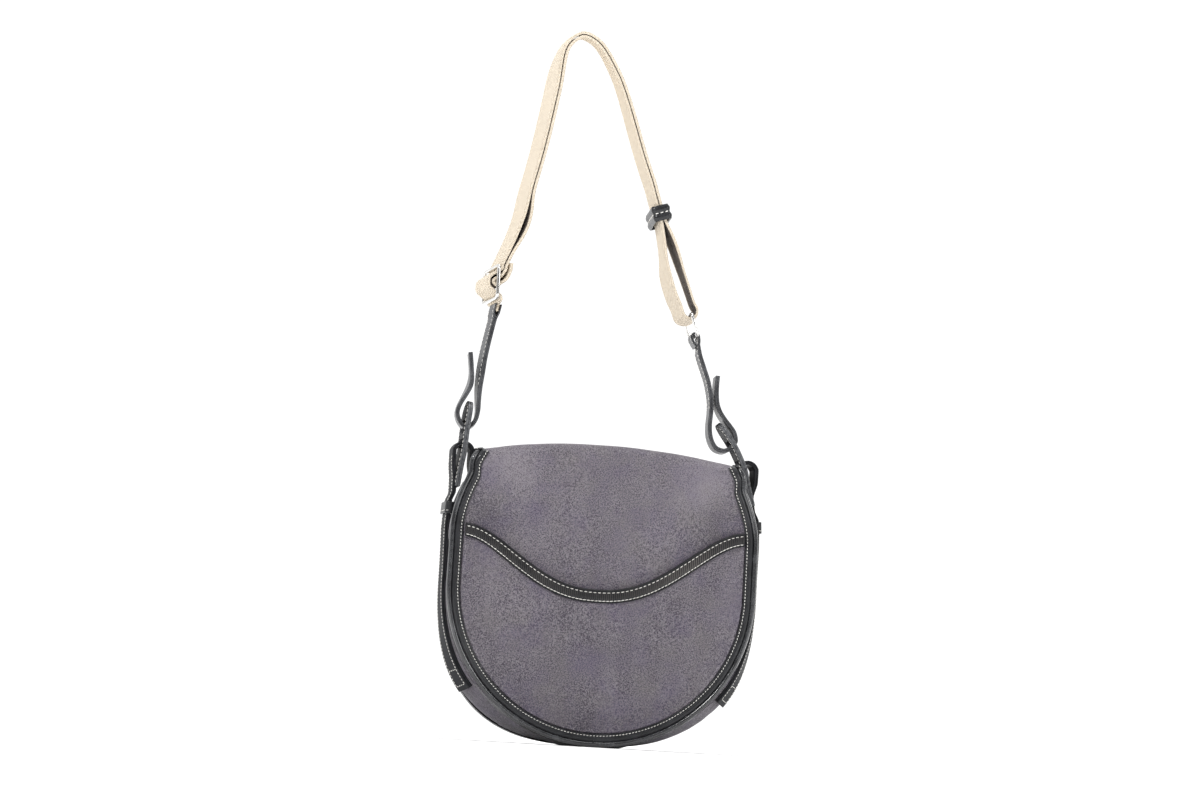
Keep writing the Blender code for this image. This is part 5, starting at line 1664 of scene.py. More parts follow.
@dataclass
class SideHanger:
    """Side strap with its arch, its keeper and the tab that hangs on it."""

    rim: Rim
    carcass: Carcass
    side: Side
    arch_centre: float
    arch_crossing: float
    tab_heading: float
    bend_share: float
    slot_spacing: float
    tail_heading: float
    strap_width: float = 0.017
    strap_thickness: float = 0.0036
    strap_start: float = math.radians(-42.0)
    arch_radius: float = 0.0082
    arch_height: float = 0.2555
    leg_height: float = 0.234
    inner_end: float = 0.211
    inner_turn: float = 0.224
    keeper_wall: float = 0.0018
    keeper_height: float = 0.0105
    keeper_centre: float = 0.205
    keeper_step: float = 0.0015
    keeper_seam: float = 0.0024
    tab_width: float = 0.026
    tab_thickness: float = 0.0045
    tab_tail: float = 0.040
    tab_turn: float = 0.07
    tip_beyond: float = 0.024
    bend_per_metre: float = math.radians(440.0)
    lower_slot: float = 0.0078
    upper_slot: float = 0.01156
    upper_gap: float = 0.0011
    end_width: float = 0.018
    running_gap: float = 0.0006
    face_slope: float = 0.17
    arch_slope: float = 0.14
    seam_half: float = 0.0064
    bar_half: float = 0.0062
    seam_pitch: float = 0.001
    seam_shares: Pair = (0.02, 0.74)
    bar_shares: Pair = (0.02, 0.07)
    tab_seam_inset: float = 0.0021
    slot_corner: float = 0.0009
    ply_share: float = 0.98
    ply_edge: float = 0.0004
    line_pitch: float = 0.0012
    above_keeper: float = 0.002
    upright_over: float = 0.010
    turn_below: float = 0.004
    turn_over: float = 0.016
    tail_bend: float = 0.02

    def strap_line(self) -> list[Vector]:
        """Middle line of the side strap from its sewn end to its inner end."""
        rim, gap = self.rim, self.rim.gap
        seat = self.carcass.bulge - self.carcass.seat + gap
        tight = self.keeper_wall - self.carcass.seat + 2 * gap
        line = []
        for place, outward, _free in rim.half[::3]:
            turn = math.atan2(place.y - rim.radius, place.x)
            if turn < self.strap_start or place.y > self.keeper_centre - self.keeper_height:
                continue
            inner = tight + (seat - tight) * self.carcass.bulge_at(place.y)
            line.append(place + outward * (inner + self.strap_thickness / 2))
        above = rim.radius + tight + self.strap_thickness / 2 - self.keeper_step
        line.append(Vector((above, self.keeper_centre + self.keeper_height / 2
                            + self.above_keeper)))
        centre = Vector((self.arch_centre, self.arch_height))
        line.append(Vector((centre.x + self.arch_radius, self.leg_height)))
        line += [centre + self.arch_radius * toward(math.pi * step / 10) for step in range(11)]
        last = [station for station in rim.half if station.free <= rim.gusset_end][-1]
        inset = self.carcass.seat + self.carcass.gusset_thickness
        inside = (last.place - last.outward * inset).x - gap - self.strap_thickness / 2
        line.append(Vector((centre.x - self.arch_radius,
                            (self.leg_height + self.arch_height) / 2)))
        line.append(Vector((inside, self.inner_turn)))
        line.append(Vector((inside, self.inner_end)))
        line = even_line(rounded_line(line, 8), self.line_pitch)
        return [Vector((self.side.value * p.x, p.y)) for p in line]

    def lean(self, point: Vector) -> Vector:
        """Turn the side strap's face towards the back, as it lies on the round gusset."""
        near = STRAP_Y - self.strap_width / 2
        far = STRAP_Y + self.strap_width / 2
        inward = max(self.carcass.bulge_at(point.z) if point.z > self.carcass.full_to else 1.0,
                     ease((point.z - self.keeper_centre - self.keeper_height / 2)
                          / self.upright_over))
        outward = (point.y - near) * (1.0 - inward) if self.side is Side.LEFT else 0.0
        shift = ((point.y - far) * inward + outward) * self.face_slope * self.side.value
        above = ease((point.z - self.leg_height + self.turn_below) / self.turn_over)
        turned = -self.arch_slope * (point.y - STRAP_Y)
        return point + Vector((shift + (turned - shift) * above, 0.0, 0.0))

    def tab_point(self, run: float) -> tuple[Vector, float]:
        """Place and heading along the tab, as on the right side."""
        place = Vector((self.arch_centre, self.arch_height))
        place += self.arch_radius * toward(self.arch_crossing)
        bend = self.bend_per_metre * self.bend_share
        chord = self.tab_heading + bend * max(run, 0.0) / 2
        if run < 0.0:
            chord += (self.tail_heading - self.tab_heading) * ease(-run / self.tail_bend)
        return place + run * toward(chord), chord if run < 0.0 else self.tab_heading + bend * run

    def tab_spot(self, run: float, across: float, depth: float) -> Vector:
        """Place in the tab; the depth counts from its middle."""
        spot, heading = self.tab_point(run)
        spot = spot + toward(heading + math.pi / 2) * depth
        x = self.side.value * spot.x - self.tab_turn * (1 - self.side.value) * across
        return Vector((x, STRAP_Y + across, spot.y))

    def slot_outline(self, run: float, tall: float, wide: float) -> list[Pair]:
        """Outline of a slot with eased corners."""
        corner, tall, wide = self.slot_corner, tall / 2, wide / 2
        return [(run + a, b) for a, b in (
            (tall, wide - corner), (tall - corner, wide), (corner - tall, wide),
            (-tall, wide - corner), (-tall, corner - wide), (corner - tall, -wide),
            (tall - corner, -wide), (tall, corner - wide))]

    def tab_outline(self, inset: float = 0.0, tips: int = 28) -> list[Pair]:
        """Outline of the tab, moved in by an inset."""
        half = self.tab_width / 2
        tip = self.slot_spacing + self.tip_beyond
        low = -self.tab_tail + inset
        edge = half - inset
        line = [(low, edge), (low, -edge)]
        for step in range(tips + 1):
            turn = math.pi * step / tips - math.pi / 2
            line.append((tip - half + edge * math.cos(turn), edge * math.sin(turn)))
        return line

    def tab(self) -> Piece:
        """Two plies of leather with a round tip and two slots."""
        wide = 2 * self.running_gap
        loops = [self.tab_outline(),
                 self.slot_outline(0.0, self.lower_slot, self.strap_width + wide),
                 self.slot_outline(self.slot_spacing, self.upper_slot,
                                   self.end_width + 2 * self.upper_gap)]
        tip = self.slot_spacing + self.tip_beyond
        cuts = [-self.tab_tail + (tip + self.tab_tail) * step / 40 for step in range(1, 40)]

        def ply(name: str, side: int) -> Piece:
            plate = Bench.plate(name, loops, self.tab_thickness / 2 * self.ply_share,
                                 self.ply_edge, cuts)
            shift = side * self.tab_thickness / 4
            Bench.bend(plate, lambda co: self.tab_spot(co.x, co.y, co.z + shift))
            return plate

        piece = Bench.plies("tab_leather_" + self.side.word, ply)
        Bench.seal(piece, FINE_MERGE)
        Bench.mark_edges(piece)
        Bench.shade(piece, 38.0)
        return piece

    def tab_seams(self) -> list[StitchRow]:
        """Thread along both faces of the tab."""
        rows = []
        outline = [Vector((a, b)) for a, b in self.tab_outline(self.tab_seam_inset)]
        outline = even_line([*outline[1:], outline[0]], self.seam_pitch)
        for face in (1, -1):
            depth = face * self.tab_thickness / 2
            spots = [self.tab_spot(p.x, p.y, depth) for p in outline]
            outs = [(self.tab_spot(p.x, p.y, depth * 2) - spot).normalized()
                    for p, spot in zip(outline, spots)]
            rows.append(StitchRow(spots, outs, **STRAP_STITCH))
        return rows

    def keeper_place(self, line: Line) -> tuple[Vector, Vector]:
        """Where the side strap passes its keeper, and its direction there."""
        for low, high in zip(line, line[1:]):
            if low.y <= self.keeper_centre <= high.y:
                return low.lerp(high, 0.5), (high - low).normalized()
        return line[0], Vector((0.0, 1.0))

    def strap_rows(self, ribbon: Ribbon) -> list[StitchRow]:
        """Two rows of thread along the side strap's outer face and two bars at its sewn end."""
        outer, across = -self.side.value, self.seam_half
        rows = [ribbon.row(outer, place, *self.seam_shares, **SIDE_STITCH)
                for place in (-across, across)]
        return rows + [ribbon.bar(outer, share, self.bar_half, **SIDE_STITCH)
                       for share in self.bar_shares]

    def keeper_rows(self, place: Vector, along: Vector, hole: Vector) -> list[StitchRow]:
        """Thread across the keeper's outer face and its back face, near its lower edge."""
        out = Vector((along.y, -along.x)) * self.side.value
        low = place + out * hole.x - along * (self.keeper_height / 2 - self.keeper_seam)
        return [tack(stand(low + out * self.keeper_wall, STRAP_Y), Vector((0.0, hole.y, 0.0)),
                     stand(out, 0.0), **SIDE_STITCH),
                tack(stand(low, STRAP_Y - hole.y - self.keeper_wall),
                     Vector((out.x * hole.x, 0.0, 0.0)), Vector((0.0, -1.0, 0.0)), **SIDE_STITCH)]


@dataclass
class StrapEnd:
    """Leather end of the shoulder strap with its teardrop loop."""

    hanger: SideHanger
    lean: float
    crossing_share: Pair
    shares: tuple[Pair, ...]
    width: float = 0.018
    thickness: float = 0.0038
    half_width: float = 0.0110
    height: float = 0.046

    def loop(self) -> list[Vector]:
        """Control points of the teardrop from the strap to its free tail, as on the right."""
        up = toward(math.pi / 2 + self.lean)
        inward = Vector((-up.y, up.x))
        crossing, _heading = self.hanger.tab_point(self.hanger.slot_spacing)
        foot = (crossing - inward * self.crossing_share[0] * self.half_width
                - up * self.crossing_share[1] * self.height)
        return [foot + inward * a * self.half_width + up * b * self.height for a, b in self.shares]

    def rise(self, start: Vector, direction: Vector, end: Vector, arrival: Vector) -> list[Vector]:
        """Points of an easy curve to where the strap end finishes."""
        pull = (end - start).length / 3
        return [bezier(start, start + direction * pull, end - arrival * pull, end, step / 3)
                for step in range(1, 4)]


LEFT_LOOP = ((0.73, 0.92), (0.74, 0.72), (0.80, 0.52), (0.86, 0.34), (0.76, 0.16), (0.42, 0.04),
    (0.0, 0.0), (-0.38, 0.055), (-0.68, 0.16), (-0.79, 0.28), (-0.68, 0.42), (-0.42, 0.57),
    (-0.17, 0.715), (0.0, 0.86), (0.03, 1.02), (-0.07, 1.22), (-0.27, 1.47))
RIGHT_LOOP = ((0.49, 1.12), (0.53, 0.97), (0.66, 0.79), (0.92, 0.54), (1.0, 0.34), (0.88, 0.17),
    (0.60, 0.06), (0.05, 0.0), (-0.49, 0.03), (-0.80, 0.085), (-1.05, 0.165), (-1.02, 0.33),
    (-0.74, 0.47), (-0.40, 0.61), (-0.10, 0.77), (0.03, 0.93), (0.0, 1.10), (-0.12, 1.28),
    (-0.33, 1.49))


@dataclass
class Shoulder:
    """Webbing with its slide, ring and keeper, and both leather ends."""

    left: SideHanger
    right: SideHanger
    end_x: float = -0.1088
    end_top: float = 0.3920
    end_lean: float = math.radians(11.0)
    fork: float = 0.007
    fork_skive: float = 0.72
    seam_allowance: float = 0.002
    web_width: float = 0.038
    web_thickness: float = 0.0028
    layer_gap: float = 0.0006
    stub_width: float = 0.015
    layer_bow: float = 0.003
    bow_low: float = 0.432
    bow_height: float = 0.066
    wire: float = 0.0016
    slide_half_height: float = 0.0147
    frame_half_width: float = 0.0214
    frame_corner: float = 0.0034
    slide_x: float = -0.1145
    slide_height: float = 0.4105
    ring_spacing: float = 0.0200
    ring_low: Pair = (0.0740, 0.3755)
    ring_lean: float = math.radians(18.0)
    ring_play: float = 0.0042
    ring_seat: float = 0.0010
    eye_thick: float = 0.0022
    eye_thin: float = 3.0
    eye_skive: float = 1.4
    arch_x: float = -0.1044
    arch_foot: float = 0.434
    arch_span: float = 0.1394
    arch_rise: float = 0.2164
    run_above: float = 0.031
    run_below: float = 0.0065
    strand_spread: float = 0.0105
    sway_slope: float = math.tan(math.radians(13.0))
    sway_start: float = 0.284
    sway_full: float = 0.334
    tail_x: float = -0.1238
    tail_from: float = 0.310
    tail_blend: float = 0.022
    flare_slope: float = 0.085
    flare_outer: float = 0.125
    sway_turn: float = 0.585
    sway_end: float = 0.560
    crest: float = 0.452
    keeper_share: Pair = (1.003, 0.238)
    gap: float = 0.0003
    running_gap: float = 0.0006
    keeper_slack: float = 0.0028
    keeper_wall: float = 0.0019
    keeper_height: float = 0.0140
    keeper_ridge: float = 0.0010
    flare_end: float = 0.058
    flare_blend: float = 0.026
    web_edge: float = 0.0008
    web_pitch: float = 0.0011
    left_pitch: float = 0.0012
    right_pitch: float = 0.0011
    stub_past: float = 0.0005
    widen_from: float = 0.9
    widen_over: float = 0.25
    ply_share: float = 0.99
    face_inset: float = 0.002
    edge_inset: float = 0.001
    seam_half: float = 0.0069
    right_seam: Pair = (0.02, 0.42)
    left_seam: Pair = (0.01, 0.40)

    arch_shares: tuple[Pair, ...] = (
        (0.050, 0.10), (0.096, 0.20), (0.125, 0.31), (0.163, 0.42), (0.205, 0.56),
        (0.248, 0.73), (0.275, 0.85), (0.315, 0.94), (0.385, 0.99), (0.452, 1.0),
        (0.550, 0.96), (0.650, 0.86), (0.726, 0.75), (0.859, 0.50))
    outer_strand: tuple[Pair, ...] = ((0.78, 0.24), (0.50, 0.42), (0.26, 0.55), (0.12, 0.62))
    inner_strand: tuple[Pair, ...] = ((0.12, -0.80), (0.26, -0.98), (0.50, -1.0), (0.78, -0.62))
    eye: tuple[Pair, ...] = (
        (0.0, -5.0), (0.40, -3.0), (0.46, -2.3), (0.86, -1.2), (1.0, 0.0), (0.71, 0.71),
        (0.0, 1.0), (-0.71, 0.71), (-1.0, 0.0), (-0.86, -1.2), (-0.46, -2.3), (-0.40, -2.75))
    slide_out: tuple[Triple, ...] = (
        (-1.15, 0.0, -1.0), (-1.05, 0.6, -1.0), (0.2, -2.6, 0.0), (1.85, -1.25, 0.0),
        (2.1, 0.0, 0.0), (1.85, 1.25, 0.0), (0.2, 2.6, 0.0), (-1.05, -0.6, 1.0), (-1.15, 0.5, 1.0),
    )
    slide_in: tuple[Triple, ...] = (
        (-2.2, 0.5, 1.0), (-2.0, -0.6, 1.0), (-1.55, 2.5, 0.0), (-0.75, 1.4, 0.0),
        (0.35, 0.93, 0.0), (1.0, 0.0, 0.0), (0.0, -1.0, 0.0), (-0.93, -0.25, 0.0),
        (-2.3, 0.9, 0.0), (-3.2, 3.0, 0.0), (-3.4, 0.9, 1.0))

    def __post_init__(self) -> None:
        self.wrap = self.wire + self.running_gap + self.web_thickness / 2
        self.up = Vector((-math.sin(self.ring_lean), math.cos(self.ring_lean)))
        self.out = Vector((self.up.y, -self.up.x))
        self.low = Vector(self.ring_low)
        self.left_end = StrapEnd(self.left, lean=math.radians(2.7), crossing_share=(0.0, 0.0),
                                 shares=LEFT_LOOP)
        self.right_end = StrapEnd(self.right, lean=math.radians(11.0),
                                  crossing_share=(-0.80, 0.085), shares=RIGHT_LOOP)
        self.end = Vector((self.end_x, self.end_top))
        self.end_up = Vector((math.sin(self.end_lean), math.cos(self.end_lean)))

    def sway(self, point: Vector) -> Vector:
        """Lean the strap's far edge outwards on the left leg and upwards over the arch."""
        across = point.y - STRAP_Y
        crest_height = self.arch_foot + self.arch_rise
        if point.x < self.arch_x + self.arch_span * self.crest:
            amount = ease((point.z - self.sway_start) / (self.sway_full - self.sway_start))
            turn = math.pi / 2 * ease((point.z - self.sway_turn) / (crest_height - self.sway_turn))
        else:
            amount = ease((point.z - self.sway_end) / (crest_height - self.sway_end))
            turn = math.pi / 2
        if point.x < self.tail_x and point.z < self.end_top - self.fork:
            amount *= 1.0 - ease((point.z - self.tail_from) / self.tail_blend)
        out = Vector((-math.cos(turn), 0.0, math.sin(turn)))
        return point + out * (across * self.sway_slope * amount)

    def flare(self, point: Vector) -> Vector:
        """Spread the far edges of the two strands above the ring, then sway the point."""
        flat = Vector((point.x, point.z)) - self.low
        rise, aside = flat.dot(self.up), flat.dot(self.out)
        if point.x > 0.0 and rise > 0.0:
            fade = 1.0 - ease((rise - self.flare_end) / self.flare_blend)
            slope = self.flare_outer if aside > 0.0 else self.flare_slope
            amount = ease(rise / self.ring_spacing) * fade * min(
                max(aside / self.strand_spread * slope, -self.flare_slope), self.flare_outer)
            shift = (point.y - STRAP_Y) * amount
            point = point + Vector((self.out.x, 0.0, self.out.y)) * shift
        return self.sway(point)

    def swayed(self, row: StitchRow) -> StitchRow:
        """The same row of thread on the leaning strap."""
        row.line = [self.sway(spot) for spot in row.line]
        return row

    def keeper_axis(self) -> tuple[Vector, Vector]:
        """Centre of the keeper and the webbing's direction down through it."""
        return (Vector((self.arch_x + self.keeper_share[0] * self.arch_span,
                        self.arch_foot + self.keeper_share[1] * self.arch_rise)), -self.up)

    def slide_spot(self, share: Triple) -> Vector:
        """Place near the slide by two shares of the wrap radius and one of the bar spacing."""
        return Vector((self.slide_x - share[0] * self.wrap,
                       self.slide_height + share[1] * self.wrap
                       + share[2] * self.slide_half_height))

    def middle(self) -> list[Vector]:
        """Line between the two webbing layers from the slide over the arch to the keeper."""
        start = (self.slide_spot(self.slide_out[-1]) + self.slide_spot(self.slide_in[0])) / 2
        foot = Vector((self.arch_x, self.arch_foot))
        arch = [foot + Vector((a * self.arch_span, b * self.arch_rise))
                for a, b in self.arch_shares]
        keeper, along = self.keeper_axis()
        line = rounded_line([start, *arch, keeper - along * self.run_above], 8)
        return line + [keeper, keeper + along * self.run_below]

    def bow(self, place: Vector) -> float:
        """How far the inner layer bows away from the outer one on the left leg."""
        if place.x > self.arch_x + self.arch_span * self.crest:
            return 0.0
        share = min(max((place.y - self.bow_low) / self.bow_height, 0.0), 1.0)
        return self.layer_bow * math.sin(math.pi * share) ** 2

    def web_line(self) -> list[Vector]:
        """Whole middle line of the webbing, from the strap end to its folded tail."""
        half = (self.web_thickness + self.layer_gap) / 2
        middle = self.middle()
        normals = left_normals(middle)
        outer = [p + n * half for p, n in zip(middle, normals)]
        inner = [p - n * (half + self.bow(p)) for p, n in zip(middle, normals)]
        top = self.low + self.up * self.ring_spacing
        radius = self.wire + self.ring_seat + self.ring_play + self.web_thickness / 2
        centre = top + self.up * self.ring_play
        bend = [centre + self.out * (radius * math.cos(a)) - self.up * (radius * math.sin(a))
                for a in (math.pi * step / 8 for step in range(9))]

        def strand(shares: Sequence[Pair], start: Vector) -> list[Vector]:
            reach = (start - top).dot(self.up)
            return [top + self.up * (a * reach) + self.out * (b * self.strand_spread)
                    for a, b in shares]

        below = rounded_line([outer[-2], outer[-1], *strand(self.outer_strand, outer[-1]), *bend,
                              *strand(self.inner_strand, inner[-1]), inner[-1], inner[-2]], 6)
        stub = [self.end - self.end_up * (self.fork - self.gap),
                self.end - self.end_up * (self.fork / 2), self.end]
        weave = rounded_line(stub + [self.slide_spot(s) for s in self.slide_out] + [outer[3]], 8)
        fold = rounded_line([inner[3]] + [self.slide_spot(s) for s in self.slide_in], 8)
        line = weave[:-1] + outer[3:-2] + below + list(reversed(inner[3:-2])) + fold[1:]
        return even_line(line, self.web_pitch)

    def webbing(self) -> Piece:
        """The webbing as one strip of twill."""
        line = self.web_line()
        length = line_length(line)
        narrow = (self.fork + self.stub_past) / length
        ribbon = Ribbon(line, self.web_width, self.web_thickness)

        def widths(u: float) -> float:
            share = ease((u - narrow * self.widen_from) / (narrow * self.widen_over))
            return self.stub_width / self.web_width * (1.0 - share) + share

        piece = ribbon.ply("webbing_twill", self.web_edge, lambda index: 0.0,
                           lambda index: self.web_thickness, 12, widths)
        Bench.bend(piece, self.flare)
        return piece

    def left_ribbon(self) -> Ribbon:
        """Left leather end, from its top down to the free tail."""
        points = self.left_end.loop()
        top = Vector((-self.end.x, self.end.y))
        up = Vector((-self.end_up.x, self.end_up.y))
        start = (points[0] - points[1]).normalized()
        straight = top - up * (self.fork + self.seam_allowance)
        rise = self.left_end.rise(points[0], start, straight, up)
        line = rounded_line([top, *reversed(rise), *points], 14)
        line = [Vector((-p.x, p.y)) for p in even_line(line, self.left_pitch)]
        thicks = [self.ply_thickness(p.y) * 2 + self.fork_spread(p.y) * 2 for p in line]
        return Ribbon(line, self.left_end.width, self.left_end.thickness, thicks)

    def fork_share(self, height: float) -> float:
        """How far the two plies of the left end have parted at a height, from 0 to 1."""
        return ease((height - self.end_top + 2 * self.fork) / self.fork)

    def fork_spread(self, height: float) -> float:
        """How far each ply of the left end stands off to take the webbing between."""
        return (self.web_thickness / 2 + self.gap) * self.fork_share(height)

    def ply_thickness(self, height: float) -> float:
        """Thickness of one ply of the left end, skived where it takes the webbing."""
        skived = 1.0 - (1.0 - self.fork_skive) * self.fork_share(height)
        return self.left_end.thickness / 2 * skived

    def left_leather(self) -> Piece:
        """Left strap end as two plies that part round the webbing."""
        base = self.left_ribbon()
        heights = [p.y for p in base.line]
        piece = Bench.plies("strap_end_leather_left", lambda part, side: base.ply(part, PLY_EDGE,
            lambda index: side * (self.fork_spread(heights[index])
                                  + self.ply_thickness(heights[index]) / 2),
            lambda index: self.ply_thickness(heights[index]) * self.ply_share))
        Bench.bend(piece, self.sway)
        return piece

    def right_ribbon(self) -> Ribbon:
        """Right leather end with the sewn eye round the ring, where it is skived thin."""
        points = self.right_end.loop()
        radius = self.wire + self.running_gap + self.eye_thick / 2
        eye = [self.low + self.out * (a * radius) + self.up * (b * radius) for a, b in self.eye]
        start = (points[0] - points[1]).normalized()
        rise = self.right_end.rise(points[0], start, eye[0], self.up)
        line = even_line(rounded_line([*reversed(rise[:-1] + eye), *points], 14), self.right_pitch)
        full = self.right_end.thickness
        thicks = [self.eye_thick + (full - self.eye_thick)
                  * ease(((p - self.low).length / radius - self.eye_thin) / self.eye_skive)
                  for p in line]
        return Ribbon(line, self.right_end.width, full, thicks)

    def wire_frame(self, name: str, low: Vector, up: Vector, bars: Sequence[float] = ()) -> Piece:
        """Rectangular wire frame with rounded corners and bars across it."""
        half, rise = self.frame_half_width, up.length
        direction, base = stand(up, 0.0) / rise, stand(low, STRAP_Y)
        outline = rounded_frame(Vector((-half, 0.0)), Vector((half, rise)), self.frame_corner)
        runs = [([base + Vector((0.0, p.x, 0.0)) + direction * p.y for p in outline], True)]
        for share in bars:
            spot, reach = base + direction * (rise * share), Vector((0.0, half, 0.0))
            runs.append(([spot - reach, spot + reach], False))
        return Bench.wire(name, runs, self.wire, 6)

    def keeper_rows(self, place: Vector, along: Vector, hole: Vector) -> list[StitchRow]:
        """Thread round the middle of the webbing keeper."""
        out = Vector((along.y, -along.x))
        reach = hole + Vector((self.keeper_wall, self.keeper_wall))
        rows = []
        for face in (1, -1):
            rows.append(tack(stand(place + out * (face * reach.x), STRAP_Y),
                             Vector((0.0, reach.y - self.face_inset, 0.0)), stand(out * face, 0.0),
                             **KEEPER_STITCH))
            rows.append(tack(stand(place, STRAP_Y + face * reach.y),
                             stand(out, 0.0) * (reach.x - self.edge_inset),
                             Vector((0.0, face, 0.0)), **KEEPER_STITCH))
        return rows


# The snap


@dataclass
class Snap:
    """Magnetless press snap: a socket on the front panel and a stud under the flap."""

    shell: SuedeShell
    radius: float = 0.009
    height: float = 0.112
    socket: float = 0.0016
    plate: float = 0.0012
    stud_radius: float = 0.0032
    reach: float = 0.0020
    bore: float = 0.0037
    edge: float = 0.0003
    well_share: float = 0.8

    def disc(self, name: str, low: float, high: float, lip: float, well: float,
             rise: float) -> Piece:
        """Turned plate with a raised or sunk middle.

        Args:
            name: the piece's name.
            low: y of its flat back.
            high: y of its face.
            lip: radius of the middle.
            well: how far the middle stands out (+) or in (-) of the face.
            rise: +1 where the face looks to +Y, -1 where it looks to -Y.

        Returns:
            The plate.
        """
        bpy.ops.object.select_all(action="DESELECT")
        bpy.ops.mesh.primitive_cylinder_add(vertices=48, radius=self.radius, depth=abs(high - low))
        piece = bpy.context.object
        piece.name = piece.data.name = name
        bpy.ops.object.mode_set(mode="EDIT")
        bpy.ops.mesh.select_all(action="DESELECT")
        bpy.ops.object.mode_set(mode="OBJECT")
        for face in piece.data.polygons:
            face.select = face.normal.z > 0.9
        bpy.ops.object.mode_set(mode="EDIT")
        bpy.ops.mesh.inset(thickness=self.radius - lip, depth=0.0)
        bpy.ops.mesh.extrude_region_move(TRANSFORM_OT_translate={"value": (0.0, 0.0, well)})
        bpy.ops.object.mode_set(mode="OBJECT")
        Bench.ease_edges(piece, self.edge, 3)
        middle = (low + high) / 2
        turn = Matrix.Rotation(-rise * math.pi / 2, 4, "X")
        Bench.bend(piece, lambda co: turn @ co + Vector((0.0, middle, self.height)))
        Bench.seal(piece, FINE_MERGE)
        Bench.shade(piece, 35.0)
        return piece

    def build(self, shop: Workshop) -> None:
        """Make both halves."""
        nickel, gap = shop.finishes.nickel, self.shell.rim.gap
        face = self.shell.rim.half_depth + gap
        socket = self.disc("snap_socket_plate", face, face + self.socket, self.bore,
                           -self.socket * self.well_share, 1)
        shop.place(socket, nickel, "snap_socket", slot=Slot.NICKEL)
        inner = self.shell.flap_face - self.shell.thickness - gap
        stud = self.disc("snap_stud_plate", inner - self.plate, inner, self.stud_radius,
                         self.reach, -1)
        shop.place(stud, nickel, "snap_stud", body=Body.FLAP, slot=Slot.NICKEL)


# Studio


@dataclass
class Studio:
    """Pale floor, soft lights and the camera of the photograph."""

    place: Triple = (-0.24376, -2.2259, 0.00515)
    look: Triple = (0.10453503, 0.98507171, 0.13677044)
    up: Triple = (-0.05756403, 0.0, 0.99834182)
    lens: float = 74.16
    white: float = 1.12
    front_level: float = 0.26
    front_from: float = -0.6
    back_from: float = 0.3
    glow: float = 0.7
    glow_from: float = 0.15
    glow_to: float = 1.0
    sensor: float = 36.0
    nearest: float = 0.01
    floor_size: float = 60.0
    floor_grey: float = 0.78
    aim_height: float = 0.28
    lamps: tuple[tuple[str, Triple, float, float], ...] = (
        ("key", (-1.3, -2.0, 1.9), 0.5, 29.0), ("fill", (1.6, -1.8, 1.1), 0.7, 12.0),
        ("top", (0.2, -0.1, 2.3), 1.2, 24.0), ("rear", (0.8, 2.0, 1.3), 1.4, 8.0))

    def camera(self) -> None:
        """Camera at the photograph's viewing angle."""
        look = Vector(self.look).normalized()
        right = look.cross(Vector(self.up)).normalized()
        above = right.cross(look)
        data = bpy.data.cameras.new("camera")
        data.lens = self.lens
        data.sensor_width = self.sensor
        data.clip_start = self.nearest
        camera = bpy.data.objects.new("camera", data)
        frame = Matrix((right, above, -look)).transposed().to_4x4()
        frame.translation = Vector(self.place)
        camera.matrix_world = frame
        bpy.context.collection.objects.link(camera)
        bpy.context.scene.camera = camera

    def area(self, name: str, place: Triple, size: float, power: float) -> None:
        """Square soft light that faces the bag."""
        data = bpy.data.lights.new(name, "AREA")
        data.size = size
        data.energy = power
        light = bpy.data.objects.new(name, data)
        light.location = place
        aim = Vector((0.0, 0.0, self.aim_height)) - Vector(place)
        light.rotation_euler = aim.to_track_quat("-Z", "Y").to_euler()
        bpy.context.collection.objects.link(light)

    def floor(self) -> None:
        """Large plain floor, lit softly from beneath like a light table."""
        bpy.ops.object.select_all(action="DESELECT")
        bpy.ops.mesh.primitive_plane_add(size=self.floor_size)
        floor = bpy.context.object
        floor.name = "floor"
        nodes = Nodes("pale_floor")
        away = nodes.add("VectorMath", {0: nodes.place.outputs["Object"]}, operation="LENGTH")
        glow = nodes.spread(away.outputs["Value"], self.glow_from, self.glow_to, 0.0, self.glow)
        nodes.tree.links.new(glow, nodes.shader.inputs["Emission Strength"])
        nodes.set(Base_Color=(*[self.floor_grey] * 3, 1.0), Roughness=0.9,
                  Specular_IOR_Level=0.1, Emission_Color=(1.0, 1.0, 1.0, 1.0))
        floor.data.materials.append(nodes.material)

    def light(self) -> None:
        """Surroundings that are white behind the bag and greyer before it, and soft lights."""
        world = bpy.data.worlds.new("surroundings")
        world.use_nodes = True
        tree = world.node_tree
        back = tree.nodes["Background"]
        way = tree.nodes.new("ShaderNodeTexCoord")
        split = tree.nodes.new("ShaderNodeSeparateXYZ")
        level = tree.nodes.new("ShaderNodeMapRange")
        for key, value in (("From Min", self.front_from), ("From Max", self.back_from),
                           ("To Min", self.front_level), ("To Max", self.white)):
            level.inputs[key].default_value = value
        tree.links.new(way.outputs["Generated"], split.inputs[0])
        tree.links.new(split.outputs["Y"], level.inputs["Value"])
        tree.links.new(level.outputs["Result"], back.inputs["Strength"])
        back.inputs["Color"].default_value = (1.0, 1.0, 1.0, 1.0)
        bpy.context.scene.world = world
        for lamp in self.lamps:
            self.area(*lamp)

    def build(self) -> None:
        """Set the whole studio."""
        self.camera()
        self.floor()
        self.light()
        bpy.context.scene.view_settings.view_transform = "Standard"


# Assembly


